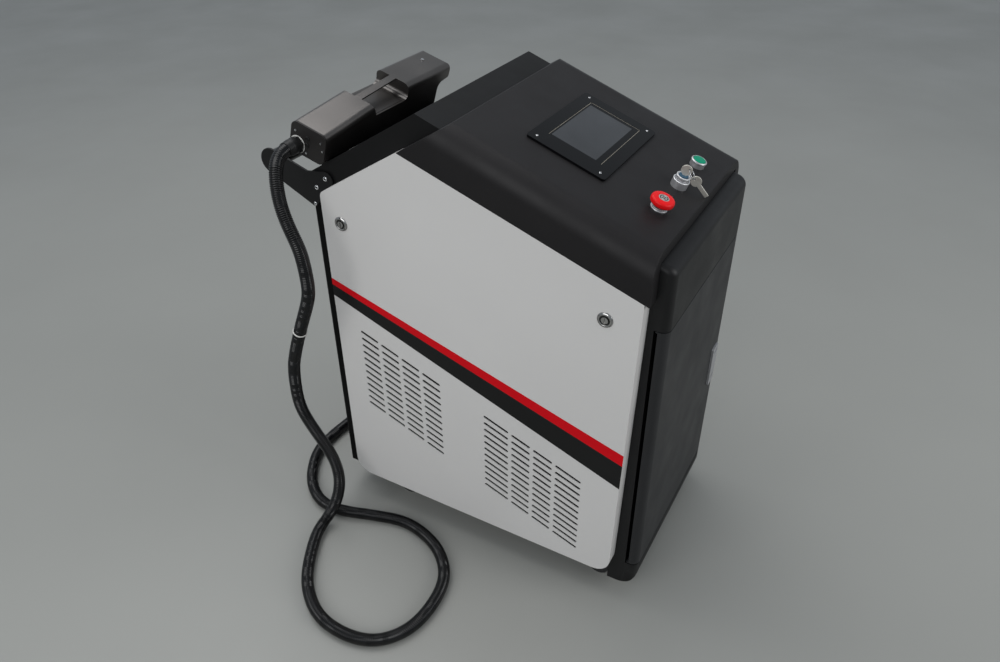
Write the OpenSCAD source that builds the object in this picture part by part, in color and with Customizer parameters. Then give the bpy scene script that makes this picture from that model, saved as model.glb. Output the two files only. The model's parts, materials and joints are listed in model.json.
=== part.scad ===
// Laser cleaning machine: a wheeled cabinet with a sloping operator deck, a gun rest and a hand-held gun.
// The front, with its door, faces -Y. The handle is at +Y. The origin is on the ground, mid-way along
// the whole depth. All sizes are in millimetres.

/* [Cabinet] */
// Width over the two side panels
body_w = 450; // [430:1:480]
// Depth from the front face to the rear face
cabinet_d = 695; // [685:1:720]
// Reach of the handle behind the rear face
handle_reach = 113; // [108:1:125]
// Depth behind the cabinet that the frame's middle allows for
handle_room = 121; // [112:1:140]
// Height of the chassis floor above the ground
ride_h = 58; // [56:1:66]
// Thickness of the folded sheet
sheet = 2; // [1.5:0.1:3]
// Gap between separate covers
cover_gap = 0.3; // [0.2:0.1:0.6]

/* [Front module] */
// Depth of the front module
nose_d = 58; // [54:1:60]
// Height of its underside above the ground
nose_clear = 28; // [20:1:40]
// Radius of its lower front edge
nose_r = 40; // [30:1:48]
// Radius of its upright front edges
edge_r = 15; // [8:1:20]
// Radius of the hood's top edge
hood_r = 5; // [4:1:8]
// Height of the hood above the door
hood_h = 110; // [90:1:130]
// Height of the nose below the door
chin_h = 60; // [52:1:75]
// Depth of the wrap-round door's sides
door_side = 18; // [16:1:20]
// Depth of the recess that the door closes
pocket_d = 24.5; // [24:0.5:28]
// Gap above and below the door
door_gap = 2; // [1.5:0.5:4]
// Inset of the door's pivot from the side face
pivot_inset = 4; // [3.9:0.1:5]
// Distance of the pivot behind the door's rear edge
pivot_back = 1.5; // [1.5:0.1:2]
// Radius of the pivot pins
pin_r = 1.5; // [1.3:0.1:1.6]
// Radius of the ears that turn on the pins
ear_r = 3.8; // [3.6:0.1:3.8]

/* [Side panels] */
// Depth of the folded side panels
panel_d = 28; // [24:1:34]
// Height of their lower edge above the chassis floor
panel_lift = 12; // [8:1:20]
// Distance of their rear edge from the rear face
panel_back = 41; // [36:1:48]
// Distance of their lower front corner from the front face
panel_front = 48; // [44:1:52]
// Forward lean of their front edge
panel_lean = 13; // [4:1:14]
// Distance of the peak from the front face
apex_run = 478.5; // [460:0.5:500]
// Distance of the peak below the deck's surface
apex_drop = 89; // [84:1:95]
// Slope of the upper front edge in degrees
front_slope = 19.4; // [18.5:0.1:20]
// Slope of the upper rear edge in degrees
rear_slope = 31.85; // [30:0.05:33]
// Radius of the lower corners
panel_low_r = 36; // [20:1:45]
// Radius of the upper rear corner
panel_top_r = 14; // [8:1:20]

/* [Air slots and stripes] */
// Number of slot rows
slot_rows = 12; // [8:1:13]
// Upright distance from row to row
slot_pitch = 16.1; // [14:0.1:17]
// Width of a slot
slot_w = 6; // [3:0.1:7]
// Slope of the rows in degrees
slot_slope = 20.6; // [18:0.1:22]
// Gap between slots in a row
slot_gap = 7.7; // [6:0.1:9]
// Length of a short slot
slot_short = 42; // [36:1:43]
// Length of a long slot
slot_long = 56; // [50:1:57]
// Distance of the first slot from the panel's rear edge
slot_inset = 56; // [50:1:70]
// Height of the first row above the panel's lower edge
slot_h = 394; // [380:1:400]
// Distance along the row to the second group
slot_jump = 294; // [280:1:300]
// Height of the red stripe's top at the rear edge, above the panel's lower edge
stripe_rear_h = 500; // [490:1:520]
// Width of the red stripe at the rear edge
red_rear_w = 14; // [10:1:20]
// Width of the black stripe at the rear edge
black_rear_w = 24; // [18:1:30]
// Height of the red stripe's top at the front edge
stripe_front_h = 316; // [305:1:330]
// Width of the red stripe at the front edge
red_front_w = 25; // [18:1:30]
// Width of the black stripe at the front edge
black_front_w = 56; // [44:1:60]
// Thickness of the stripe film
film_t = 0.3; // [0.2:0.1:0.5]

/* [Deck] */
// Distance of the deck's front edge behind the front face
deck_back = 26; // [20:1:32]
// Height of the deck's front edge above the ground
deck_front_h = 779.5; // [760:0.5:800]
// Slope of the deck in degrees
deck_slope = 20; // [19.5:0.1:20.5]
// Radius of the deck's long edges
deck_r = 38; // [24:1:44]
// Step from the deck down to the hood and the rear cover
inner_drop = 20; // [16:1:26]

/* [Screen] */
// Width of the screen bezel
bezel_w = 233; // [226:1:250]
// Height of the screen bezel
bezel_h = 149; // [136:1:160]
// How far the bezel stands above the deck
bezel_t = 4; // [3.5:0.5:6]
// Radius of the bezel's corners
bezel_r = 6; // [3:1:12]
// Distance of the bezel's middle from the deck's front edge
bezel_s = 217; // [205:1:225]
// Sideways place of the bezel's middle
bezel_x = 4; // [-5:1:10]
// Width of the screen window
window_w = 171; // [154:1:176]
// Height of the screen window
window_h = 102; // [90:1:106]
// Sideways place of the window's middle from the bezel's middle
window_x = 6; // [0:1:12]
// Distance between the bezel's screws across
bezel_screw_w = 207; // [200:1:214]
// Distance between the bezel's screws up the slope
bezel_screw_h = 121; // [116:1:126]

/* [Controls] */
// Distance of the controls from the deck's front edge
control_s = 49; // [44:1:56]
// Sideways place of the emergency stop
stop_x = -91.5; // [-100:0.5:-86]
// Sideways place of the key switch
key_x = 1; // [-6:1:6]
// Sideways place of the start button
start_x = 97; // [90:1:110]
// Radius of the barrels below the deck
barrel_r = 11; // [10:0.5:11]
// Depth of the barrels below the deck
barrel_d = 30; // [26:1:40]
// Radius of the emergency stop's head
stop_r = 20; // [18:0.5:24]
// Thickness of the emergency stop's head
stop_t = 11; // [10:1:14]
// Radius of the emergency stop's collar
stop_collar_r = 14.5; // [13.5:0.5:17]
// Height of the emergency stop's collar
stop_collar_h = 4.5; // [4:0.5:7]
// Travel of the emergency stop
stop_travel = 4; // [3:0.5:5]
// Radius of the emergency stop's stem
stem_r = 6; // [5:0.5:7]
// Radius of the start button's bezel
start_r = 14.5; // [14:0.5:16]
// Height of the start button's bezel
start_h = 12; // [11:1:16]
// Radius of the start button's cap
start_cap_r = 11.5; // [10:0.5:11.5]
// Travel of the start button
start_travel = 3; // [2:0.5:4]
// Radius of the key switch's lower collar
switch_r = 14.5; // [13.5:0.5:16]
// Height of its lower collar
switch_low_h = 13.5; // [11:0.5:15]
// Radius of its upper collar
switch_top_r = 12; // [11:0.5:12.5]
// Height over both collars
switch_h = 21; // [18:1:22]
// Radius of the turning core
core_r = 8; // [7:0.5:8.5]
// Running clearance of every moving pin, core and stem
run_gap = 0.05; // [0.03:0.01:0.08]

/* [Keys] */
// Radius of a key's bow
bow_r = 9.5; // [8:0.5:10]
// Thickness of a key
key_t = 2.2; // [1.8:0.1:2.6]
// Length of a key
key_len = 42; // [40:1:50]
// Width of a key's blade
blade_w = 7; // [6:0.5:8]
// Radius of the key ring's wire loop
ring_r = 9; // [8.5:0.5:10]
// Radius of the key ring's wire
ring_wire = 0.8; // [0.6:0.1:1]
// Radius of the hole in a bow
bow_hole_r = 1.8; // [1.6:0.1:2.2]

/* [Rear cover and handle] */
// Thickness of the raised rear cover, square to its slope
cover_t = 40; // [36:1:46]
// Thickness of the handle's side plates
handle_t = 4; // [3:0.5:6]
// Radius of the plates' front end
handle_fix_r = 16; // [14:1:18]
// Distance of the front end in from the rear face
handle_fix_in = 37; // [33:1:41]
// Distance of the front end below the cover's rear top edge
handle_fix_drop = 8; // [5:1:12]
// Radius of the plates' lower end
handle_foot_r = 8; // [6:1:10]
// Distance of the lower end in from the rear face
handle_foot_in = 3; // [0:1:8]
// Distance of the lower end below the cover's rear top edge
handle_foot_drop = 58; // [54:1:64]
// Radius of the plates' rear tip
handle_tip_r = 24; // [21:1:26]
// Height of the tip's middle above the cover's rear top edge
handle_tip_rise = 4; // [-3:1:6]
// Radius of the plates at the dip in their upper edge
handle_dip_r = 6; // [5:1:8]
// Distance of the dip behind the rear face
handle_dip_out = 5; // [2:1:10]
// Radius of the handle's cross bar
bar_r = 17; // [14:0.5:19]

/* [Gun rest] */
// Tilt of the gun and its rest in degrees
gun_tilt = 16.5; // [14:0.5:18]
// Distance of the gun's lower near corner in front of the rear face
gun_in = 45.5; // [44:0.5:47]
// Width of a rest arm
arm_w = 24; // [18:1:30]
// Distance between the arms' middles
arm_span = 280; // [260:1:300]
// Thickness of a rest arm's rear lip
lip_t = 7; // [5:1:9]
// Height of the rear lip
lip_h = 24; // [18:1:30]
// Length of the arms' foot down the rear face
foot_h = 26; // [20:1:32]
// Thickness of the arms' foot
foot_t = 8; // [6:1:10]

/* [Gun] */
// Place of the gun's hose end from the middle of the cabinet
gun_x = -207.5; // [-212:0.5:-204]
// Length of the gun
gun_len = 388; // [380:1:394]
// Width of the gun
gun_w = 76.5; // [74:0.5:80]
// Height of the gun at its hose end
gun_end_h = 58.5; // [54:0.5:62]
// Height at the front end of its sloping back block
gun_back_h = 74; // [70:0.5:78]
// Height of the recessed middle
gun_low_h = 53; // [50:0.5:56]
// Height of its front block
gun_top_h = 84; // [81:0.5:88]
// Length of the back block
gun_back_len = 131; // [125:1:136]
// Length of the recessed middle's flat
gun_low_len = 89; // [84:1:93]
// Run of the step from the back block down to the recess
gun_step = 10; // [6:0.5:12]
// Radius of the hollow at the foot of the front block
scoop_r = 11; // [8:0.5:13]
// Overhang of the front block above that hollow
scoop_lean = 4; // [2:0.5:6]
// Height of the front end face
nose_face_h = 27; // [24:1:30]
// Length of the undercut below the front end face
undercut_len = 37; // [34:1:42]
// Radius of the undercut's hollow corner
undercut_r = 16; // [12:1:18]
// Width of the bridge strip over the recess
strip_w = 15; // [12:1:18]
// Thickness of the bridge strip
strip_t = 3; // [2.5:0.5:4]
// Thickness of the end plate
end_plate_t = 4; // [3:0.5:5]
// Radius of the gun's long edges
gun_edge_r = 12; // [10:0.5:13]
// Length of the trigger
trigger_len = 34; // [28:1:40]
// Width of the trigger
trigger_w = 14; // [12:1:18]
// Travel of the trigger
trigger_travel = 4; // [3:0.5:5]
// Radius of the hose nut
nut_r = 16; // [14.5:0.5:17]
// Length of the hose nut
nut_len = 18; // [17:0.5:18.5]

/* [Hose] */
// Radius of the ribbed hose over its ribs
hose_r = 12.5; // [11:0.5:13]
// Depth of a rib
rib_depth = 1.1; // [0.6:0.1:1.6]
// Length of one rib
rib_pitch = 4.2; // [3.8:0.1:6]
// Wall of the ribbed hose below its ribs
hose_wall = 2; // [1.5:0.1:3]

/* [Casters] */
// Radius of a caster wheel
wheel_r = 22; // [20:0.5:23]
// Width of a caster wheel
wheel_w = 18; // [14:1:20]
// Offset of the wheel's axle from the swivel
caster_trail = 16; // [12:1:17]
// Inset of the casters from the chassis' sides
caster_in = 29; // [25:1:45]
// Place of the front casters behind the front module
caster_front_in = 44; // [42:1:60]
// Place of the rear casters in front of the rear face
caster_rear_in = 122; // [90:1:140]
// Side of the square caster plate
caster_plate_w = 46; // [42:1:50]
// Thickness of the caster plate
caster_plate_t = 4; // [3:0.5:5]

/* [Inside] */
// Width of the laser source
laser_w = 230; // [200:1:240]
// Length of the laser source
laser_len = 330; // [300:1:360]
// Height of the laser source
laser_h = 120; // [100:1:160]
// Width of the power supply
supply_w = 110; // [90:1:115]
// Length of the power supply
supply_len = 215; // [180:1:230]
// Height of the power supply
supply_h = 50; // [40:1:60]
// Clearance of the inner units from the front module and the rear panel
unit_gap = 30; // [20:1:40]
// Side of the cooling fan
fan_w = 120; // [92:1:130]
// Depth of the cooling fan
fan_d = 25; // [20:1:38]
// Distance of the fan from the chassis' side
fan_in = 30; // [20:1:40]
// Height of the fan's middle above the chassis floor
fan_lift = 330; // [300:5:380]
// Width of the mains inlet
inlet_w = 48; // [44:1:52]
// Height of the mains inlet with its switch
inlet_h = 60; // [56:1:66]
// Distance of the mains inlet from the chassis' side
inlet_in = 40; // [30:1:60]
// Height of the inlet's middle above the chassis floor
inlet_lift = 90; // [60:1:120]

/* [Hidden] */
$fn = 48;

// One overrun for every cut
over = 1;

// Places along the depth
front_y = -(cabinet_d + handle_room) / 2;
rear_y = front_y + cabinet_d;
nose_rear_y = front_y + nose_d;
deck_y = front_y + deck_back;
apex_y = front_y + apex_run;
panel_rear_y = rear_y - panel_back;
panel_low_y = front_y + panel_front;
panel_high_y = panel_low_y - panel_lean;
door_edge_y = front_y + door_side;
pocket_y = front_y + pocket_d;
inner_x = body_w / 2 - panel_d;

// Heights of the sloping planes at a given depth
function deck_z(y, drop = 0) = deck_front_h - drop + (y - deck_y) * tan(deck_slope);
apex_z = deck_z(apex_y, apex_drop);
function rear_z(y, rise = 0) = apex_z + rise - (y - apex_y) * tan(rear_slope);
function edge_z(y) = apex_z - (apex_y - y) * tan(front_slope);
function meet_y(drop, rise) = (apex_z + rise + apex_y * tan(rear_slope) - deck_front_h + drop
    + deck_y * tan(deck_slope)) / (tan(deck_slope) + tan(rear_slope));
cover_rise = cover_t / cos(rear_slope);
rim_y = meet_y(0, 0);
toe_y = meet_y(inner_drop, 0);
peak_y = meet_y(inner_drop, cover_rise);
cover_top = rear_z(rear_y, cover_rise);
panel_low_z = ride_h + panel_lift;
door_low = nose_clear + chin_h;
door_high = deck_z(front_y, inner_drop) - hood_h;

// Convex outlines: a side moved in by d, and corners rounded with arcs
function unit(v) = v / norm(v);
function wrap(a) = a > 180 ? a - 360 : a < -180 ? a + 360 : a;
function inset(pts, d) = [for (i = [0:len(pts) - 1])
    let (q = pts[i], a = unit(pts[(i + len(pts) - 1) % len(pts)] - q),
        b = unit(pts[(i + 1) % len(pts)] - q))
    q + unit(a + b) * d / sin(acos(a * b) / 2)];
function corner(p, q, s, r, steps) = r <= 0 ? [q] :
    let (a = unit(p - q), b = unit(s - q), half = acos(a * b) / 2,
        c = q + unit(a + b) * r / sin(half),
        from = q + a * r / tan(half) - c, to = q + b * r / tan(half) - c,
        start = atan2(from[1], from[0]), turn = wrap(atan2(to[1], to[0]) - start))
    [for (k = [0:steps]) c + r * [cos(start + turn * k / steps), sin(start + turn * k / steps)]];
function rounded(pts, radii, steps = 8) = [for (i = [0:len(pts) - 1])
    each corner(pts[(i + len(pts) - 1) % len(pts)], pts[i], pts[(i + 1) % len(pts)], radii[i], steps)];
function box_points(w, h) = [[-w / 2, -h / 2], [w / 2, -h / 2], [w / 2, h / 2], [-w / 2, h / 2]];
function less(radii, d) = [for (r = radii) max(r - d, 0)];

// A YZ outline made into a prism from x0 to x1
module side_prism(pts, x0, x1) {
    translate([x0, 0, 0]) rotate([90, 0, 90]) linear_extrude(x1 - x0) polygon(pts);
}
module block(low, high) {
    translate(low) cube(high - low);
}
module both_sides() {
    children();
    mirror([1, 0, 0]) children();
}
module rounded_plate(w, h, r, t) {
    linear_extrude(t) polygon(rounded(box_points(w, h), [r, r, r, r]));
}
// Places its children on the deck, s up the slope from the front edge, with Z square to the deck
module on_deck(x, s) {
    translate([x, deck_y, deck_front_h]) rotate([deck_slope, 0, 0]) translate([0, s, 0]) children();
}

// Front module
front_pts = [[front_y, nose_clear], [front_y, deck_z(front_y, inner_drop)],
    [nose_rear_y, deck_z(nose_rear_y, inner_drop)], [nose_rear_y, nose_clear]];
front_radii = [nose_r, hood_r, 0, 0];
plan_pts = [[-inner_x, front_y], [inner_x, front_y], [inner_x, nose_rear_y], [-inner_x, nose_rear_y]];
plan_radii = [edge_r, edge_r, 0, 0];
pivot_x = -inner_x + pivot_inset;
pivot_y = door_edge_y + pivot_back;

module front_solid(d) {
    intersection() {
        side_prism(rounded(inset(front_pts, d), less(front_radii, d)), -inner_x, inner_x);
        linear_extrude(deck_z(nose_rear_y)) polygon(rounded(inset(plan_pts, d), less(plan_radii, d)));
    }
}
// The door's slab of the front module, moved in by d at its top and bottom
module door_slab(y, d) {
    block([-inner_x - over, front_y - over, door_low + d], [inner_x + over, y, door_high - d]);
}
module front_housing() {
    color([0.11, 0.11, 0.12])
    difference() {
        front_solid(0);
        difference() {
            front_solid(sheet);
            door_slab(pocket_y + sheet, -sheet);
        }
        door_slab(pocket_y, 0);
        translate([pivot_x, pivot_y, door_low - sheet - over])
            cylinder(r = pin_r, h = door_high - door_low + 2 * (sheet + over));
    }
}

// Latch on the door's free side
latch_w = 32;
latch_h = 92;
latch_t = 4;
latch_in = 38;
latch_drop = 291;
latch_x = inner_x - latch_in;
latch_z = door_high - latch_drop;
latch_depth = 10;
paddle_w = 22;
paddle_h = 60;
paddle_t = 5;
paddle_pin_r = 2;
paddle_z = latch_z + paddle_h / 2;
paddle_y = front_y - latch_t;
latch_wall = 3;
hole_w = latch_w - 2 * latch_wall;
hole_h = latch_h - 2 * latch_wall;

module front_door() {
    color([0.22, 0.23, 0.24])
    difference() {
        union() {
            difference() {
                intersection() {
                    front_solid(0);
                    door_slab(door_edge_y, door_gap);
                }
                intersection() {
                    front_solid(sheet);
                    door_slab(door_edge_y + over, door_gap + sheet);
                }
            }
            for (z = [door_low + door_gap, door_high - door_gap - sheet])
                translate([pivot_x, pivot_y, z]) cylinder(r = ear_r, h = sheet);
        }
        translate([pivot_x, pivot_y, door_low])
            cylinder(r = pin_r + run_gap, h = door_high - door_low);
        block([latch_x - hole_w / 2, front_y - over, latch_z - hole_h / 2],
            [latch_x + hole_w / 2, front_y + sheet + over, latch_z + hole_h / 2]);
    }
}
module door_pivots() {
    color([0.6, 0.6, 0.6])
    for (z = [door_low - sheet, door_high - door_gap - sheet])
        translate([pivot_x, pivot_y, z]) cylinder(r = pin_r, h = 2 * sheet + door_gap);
}
module latch_body() {
    color([0.75, 0.75, 0.77])
    difference() {
        union() {
            translate([latch_x, front_y, latch_z]) rotate([90, 0, 0])
                rounded_plate(latch_w, latch_h, latch_t, latch_t);
            block([latch_x - hole_w / 2 + cover_gap, front_y, latch_z - hole_h / 2 + cover_gap],
                [latch_x + hole_w / 2 - cover_gap, front_y + latch_depth,
                    latch_z + hole_h / 2 - cover_gap]);
        }
        block([latch_x - paddle_w / 2 - cover_gap, front_y - latch_t - over, paddle_z - paddle_h],
            [latch_x + paddle_w / 2 + cover_gap, front_y + latch_depth - latch_wall,
                paddle_z + paddle_pin_r * 3]);
        translate([latch_x - hole_w / 2, front_y + paddle_t - latch_t, paddle_z]) rotate([0, 90, 0])
            cylinder(r = paddle_pin_r + run_gap, h = hole_w);
    }
}
module latch_paddle() {
    color([0.8, 0.8, 0.82])
    union() {
        block([latch_x - paddle_w / 2, front_y - latch_t, paddle_z - paddle_h + latch_wall],
            [latch_x + paddle_w / 2, front_y - latch_t + paddle_t, paddle_z]);
        translate([latch_x - paddle_w / 2, front_y + paddle_t - latch_t, paddle_z]) rotate([0, 90, 0])
            cylinder(r = paddle_pin_r * 2, h = paddle_w);
        translate([latch_x - hole_w / 2 + cover_gap, front_y + paddle_t - latch_t, paddle_z])
            rotate([0, 90, 0]) cylinder(r = paddle_pin_r, h = hole_w - 2 * cover_gap);
    }
}

// Chassis
wall_pts = [[nose_rear_y, ride_h], [nose_rear_y, deck_z(nose_rear_y, inner_drop)],
    [toe_y, deck_z(toe_y, inner_drop)], [rear_y - sheet, rear_z(rear_y - sheet)], [rear_y - sheet, ride_h]];
rail_w = 30;
module chassis_frame() {
    color([0.1, 0.1, 0.1])
    union() {
        both_sides() side_prism(wall_pts, inner_x - sheet, inner_x);
        block([-inner_x, nose_rear_y, ride_h], [inner_x, rear_y - sheet, ride_h + sheet]);
        for (y = [nose_rear_y, (nose_rear_y + rear_y) / 2])
            block([-inner_x, y, deck_z(nose_rear_y, inner_drop) - 2 * rail_w],
                [inner_x, y + sheet, deck_z(nose_rear_y, inner_drop) - rail_w]);
    }
}

// Rear panel with its vent slots, fan opening, mains inlet and hose gland
fan_x = -inner_x + fan_w / 2 + fan_in;
fan_z = ride_h + fan_lift;
vent_x = inner_x / 2;
vent_w = 120;
vent_h = 6;
vent_pitch = 16;
vent_rows = 10;
fan_rows = 8;
fan_slot_share = 0.8;
fan_pitch = fan_w * fan_slot_share / (fan_rows - 1 / 2);
inlet_x = -inner_x + inlet_w / 2 + inlet_in;
inlet_z = ride_h + inlet_lift;
gland_x = 120;
gland_z = 92;
gland_r = 18;
gland_len = 28;
gland_pipe_r = 14;
inlet_wall = 3;

module rear_panel() {
    color([0.1, 0.1, 0.1])
    difference() {
        block([-inner_x, rear_y - sheet, ride_h], [inner_x, rear_y, rear_z(rear_y)]);
        for (i = [0:vent_rows - 1])
            translate([vent_x, rear_y - sheet / 2, fan_z + (i - vent_rows / 2) * vent_pitch])
                cube([vent_w, sheet + 2 * over, vent_h], center = true);
        for (i = [0:fan_rows - 1])
            translate([fan_x, rear_y - sheet / 2, fan_z + (i - (fan_rows - 1) / 2) * fan_pitch])
                cube([fan_w * fan_slot_share, sheet + 2 * over, vent_h], center = true);
        translate([inlet_x, rear_y - sheet / 2, inlet_z])
            cube([inlet_w - 2 * inlet_wall, sheet + 2 * over, inlet_h - 2 * inlet_wall], center = true);
        translate([gland_x, rear_y + over, gland_z]) rotate([90, 0, 0])
            cylinder(r = gland_pipe_r, h = sheet + 2 * over);
    }
}

// Raised rear cover behind the deck, with a tongue that runs under the deck's rim
cover_pts = [[toe_y, deck_z(toe_y, inner_drop)], [peak_y, deck_z(peak_y, inner_drop)],
    [rear_y, cover_top], [rear_y, rear_z(rear_y)]];
cover_open_pts = [[toe_y - cover_t, deck_z(toe_y - cover_t, inner_drop)],
    [peak_y, deck_z(peak_y, inner_drop)],
    [rear_y, cover_top], [rear_y, rear_z(rear_y) - cover_t]];
tongue_y = rim_y - cover_t;
tongue_end_y = toe_y + sheet;
tongue_pts = [[tongue_y, deck_z(tongue_y, inner_drop)], [tongue_end_y, deck_z(tongue_end_y, inner_drop)],
    [tongue_end_y, deck_z(tongue_end_y, inner_drop + sheet)],
    [tongue_y, deck_z(tongue_y, inner_drop + sheet)]];
module rear_cover() {
    color([0.11, 0.11, 0.11])
    union() {
        difference() {
            side_prism(cover_pts, -inner_x, inner_x);
            side_prism(inset(cover_open_pts, sheet), -inner_x + sheet, inner_x - sheet);
        }
        side_prism(tongue_pts, -inner_x + sheet + cover_gap, inner_x - sheet - cover_gap);
    }
}

// Deck cover
deck_pts = [[deck_y, deck_front_h], [rim_y, deck_z(rim_y)], [apex_y, apex_z], [deck_y, edge_z(deck_y)]];
deck_open_pts = [[deck_y, deck_front_h], [rim_y, deck_z(rim_y)], [apex_y + deck_r, rear_z(apex_y + deck_r)],
    [deck_y, edge_z(deck_y) - 2 * deck_r]];
deck_len = (rim_y - deck_y) / cos(deck_slope);
// The body under the deck, so that the deck's end walls stand on the hood and the rear cover
under_pts = [[front_y - over, deck_z(front_y - over, inner_drop - cover_gap)],
    [rear_y, deck_z(rear_y, inner_drop - cover_gap)], [rear_y, ride_h], [front_y - over, ride_h]];

module deck_solid(pts, d) {
    section = [[-body_w / 2, -body_w], [body_w / 2, -body_w], [body_w / 2, 0], [-body_w / 2, 0]];
    intersection() {
        side_prism(inset(pts, d), -body_w / 2 - over, body_w / 2 + over);
        on_deck(0, deck_len * 2) rotate([90, 0, 0]) linear_extrude(deck_len * 3)
            polygon(rounded(inset(section, d), less([0, 0, deck_r, deck_r], d)));
    }
}
module deck_cover() {
    color([0.19, 0.18, 0.18])
    difference() {
        deck_solid(deck_pts, 0);
        deck_solid(deck_open_pts, sheet);
        side_prism(under_pts, -inner_x - cover_gap, inner_x + cover_gap);
        for (x = [stop_x, key_x, start_x])
            on_deck(x, control_s) translate([0, 0, -sheet - over])
                cylinder(r = barrel_r + cover_gap, h = sheet + 2 * over);
        on_deck(bezel_x, bezel_s) translate([0, 0, -sheet - over])
            rounded_plate(bezel_w - 4 * bezel_r, bezel_h - 4 * bezel_r, bezel_r, sheet + 2 * over);
    }
}

// Screen
glass_t = 2;
bezel_lip = 2;
module screen_bezel() {
    color([0.04, 0.04, 0.045])
    on_deck(bezel_x, bezel_s)
    difference() {
        rounded_plate(bezel_w, bezel_h, bezel_r, bezel_t);
        translate([window_x, 0, bezel_t - glass_t])
            rounded_plate(window_w + 2 * cover_gap, window_h + 2 * cover_gap, bezel_lip, glass_t + over);
    }
}
module screen_glass() {
    color([0.03, 0.03, 0.035])
    on_deck(bezel_x + window_x, bezel_s) translate([0, 0, bezel_t - glass_t])
        rounded_plate(window_w, window_h, bezel_lip, glass_t - cover_gap);
}

// Screws on the bezel and on the handle's plates
screw_r = 3.2;
screw_t = 1.8;
handle_fix = [rear_y - handle_fix_in, cover_top - handle_fix_drop];
handle_foot = [rear_y - handle_foot_in, cover_top - handle_foot_drop];
handle_tip = [rear_y + handle_reach - handle_tip_r, cover_top + handle_tip_rise];
handle_dip = [rear_y + handle_dip_out, cover_top - handle_fix_drop + handle_dip_r / 2];
plate_screws = [handle_fix + [0, 1] * handle_fix_r * 0.15,
    handle_foot + [-1.4, 3.9] * handle_foot_r, handle_foot - [0.35, 0.35] * handle_foot_r];
module cover_screws() {
    color([0.75, 0.75, 0.76])
    union() {
        for (i = [-1, 1], j = [-1, 1])
            on_deck(bezel_x + i * bezel_screw_w / 2, bezel_s + j * bezel_screw_h / 2)
                translate([0, 0, bezel_t]) cylinder(r = screw_r, h = screw_t);
        both_sides()
            for (p = plate_screws)
                translate([inner_x + handle_t, p[0], p[1]]) rotate([0, 90, 0])
                    cylinder(r = screw_r, h = screw_t);
    }
}

// Side panels
tray_pts = [[panel_rear_y, panel_low_z], [panel_rear_y, rear_z(panel_rear_y)], [apex_y, apex_z],
    [panel_high_y, edge_z(panel_high_y)], [panel_low_y, panel_low_z]];
tray_radii = [panel_low_r, panel_top_r, 0, 0, panel_low_r];
lock_r = 14;
lock_t = 3;
lock_barrel_r = 9;
lock_core_r = 6;
lock_reach = 20;
cam_t = 3;
cam_len = 16;
cam_w = 8;
lock_rear_in = 41;
lock_rear_drop = 52;
lock_front_in = 48;
lock_front_drop = 67;
lock_rear = [panel_rear_y - lock_rear_in, rear_z(panel_rear_y) - lock_rear_drop];
lock_front_y = panel_low_y + lock_front_in;
lock_front = [lock_front_y, edge_z(lock_front_y) - lock_front_drop];
slot_start = [panel_rear_y - slot_inset, panel_low_z + slot_h];
short_step = slot_short + slot_gap;
slot_lens = [slot_short, slot_short, slot_short, slot_short, slot_long, slot_short, slot_short, slot_long];
slot_starts = [0, short_step, 2 * short_step, 3 * short_step, slot_jump, slot_jump + slot_long + slot_gap,
    slot_jump + slot_long + slot_gap + short_step, slot_jump + slot_long + slot_gap + 2 * short_step];

// One slot, from its rear end forwards, in the panel's plane
module slot_cut(start, length) {
    translate([start, 0, 0])
        linear_extrude(sheet + 2 * over)
            polygon(rounded([for (p = box_points(length, slot_w)) p + [length / 2, 0]],
                [1, 1, 1, 1] * slot_w * 0.45, 3));
}
module all_slots() {
    for (row = [0:slot_rows - 1], i = [0:len(slot_lens) - 1])
        translate([inner_x + panel_d + over, slot_start[0], slot_start[1] - row * slot_pitch])
            rotate([slot_slope, 0, 0]) rotate([90, 0, -90]) slot_cut(slot_starts[i], slot_lens[i]);
}
module side_tray() {
    difference() {
        side_prism(rounded(tray_pts, tray_radii), inner_x, inner_x + panel_d);
        side_prism(rounded(inset(tray_pts, sheet), less(tray_radii, sheet)),
            inner_x - over, inner_x + panel_d - sheet);
        all_slots();
        for (p = [lock_rear, lock_front])
            translate([inner_x, p[0], p[1]]) rotate([0, 90, 0])
                cylinder(r = lock_barrel_r, h = panel_d + over);
    }
}
module left_side_panel() {
    color([0.7, 0.69, 0.69]) mirror([1, 0, 0]) side_tray();
}
module right_side_panel() {
    color([0.7, 0.69, 0.69]) side_tray();
}

// Stripe films, which taper towards the rear and end on the panel's front edge
function front_edge_y(h) = panel_low_y - panel_lean * h / (edge_z(panel_high_y) - panel_low_z);
function stripe_pts(rear_top, front_top, rear_w, front_w) = [
    [panel_rear_y, panel_low_z + rear_top], [front_edge_y(front_top), panel_low_z + front_top],
    [front_edge_y(front_top - front_w), panel_low_z + front_top - front_w],
    [panel_rear_y, panel_low_z + rear_top - rear_w]];
module stripe(pts) {
    both_sides() side_prism(pts, inner_x + panel_d, inner_x + panel_d + film_t);
}
module stripe_red() {
    color([0.75, 0.04, 0.08])
    stripe(stripe_pts(stripe_rear_h, stripe_front_h, red_rear_w, red_front_w));
}
module stripe_black() {
    color([0.09, 0.09, 0.09])
    stripe(stripe_pts(stripe_rear_h - red_rear_w, stripe_front_h - red_front_w,
        black_rear_w, black_front_w));
}

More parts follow.
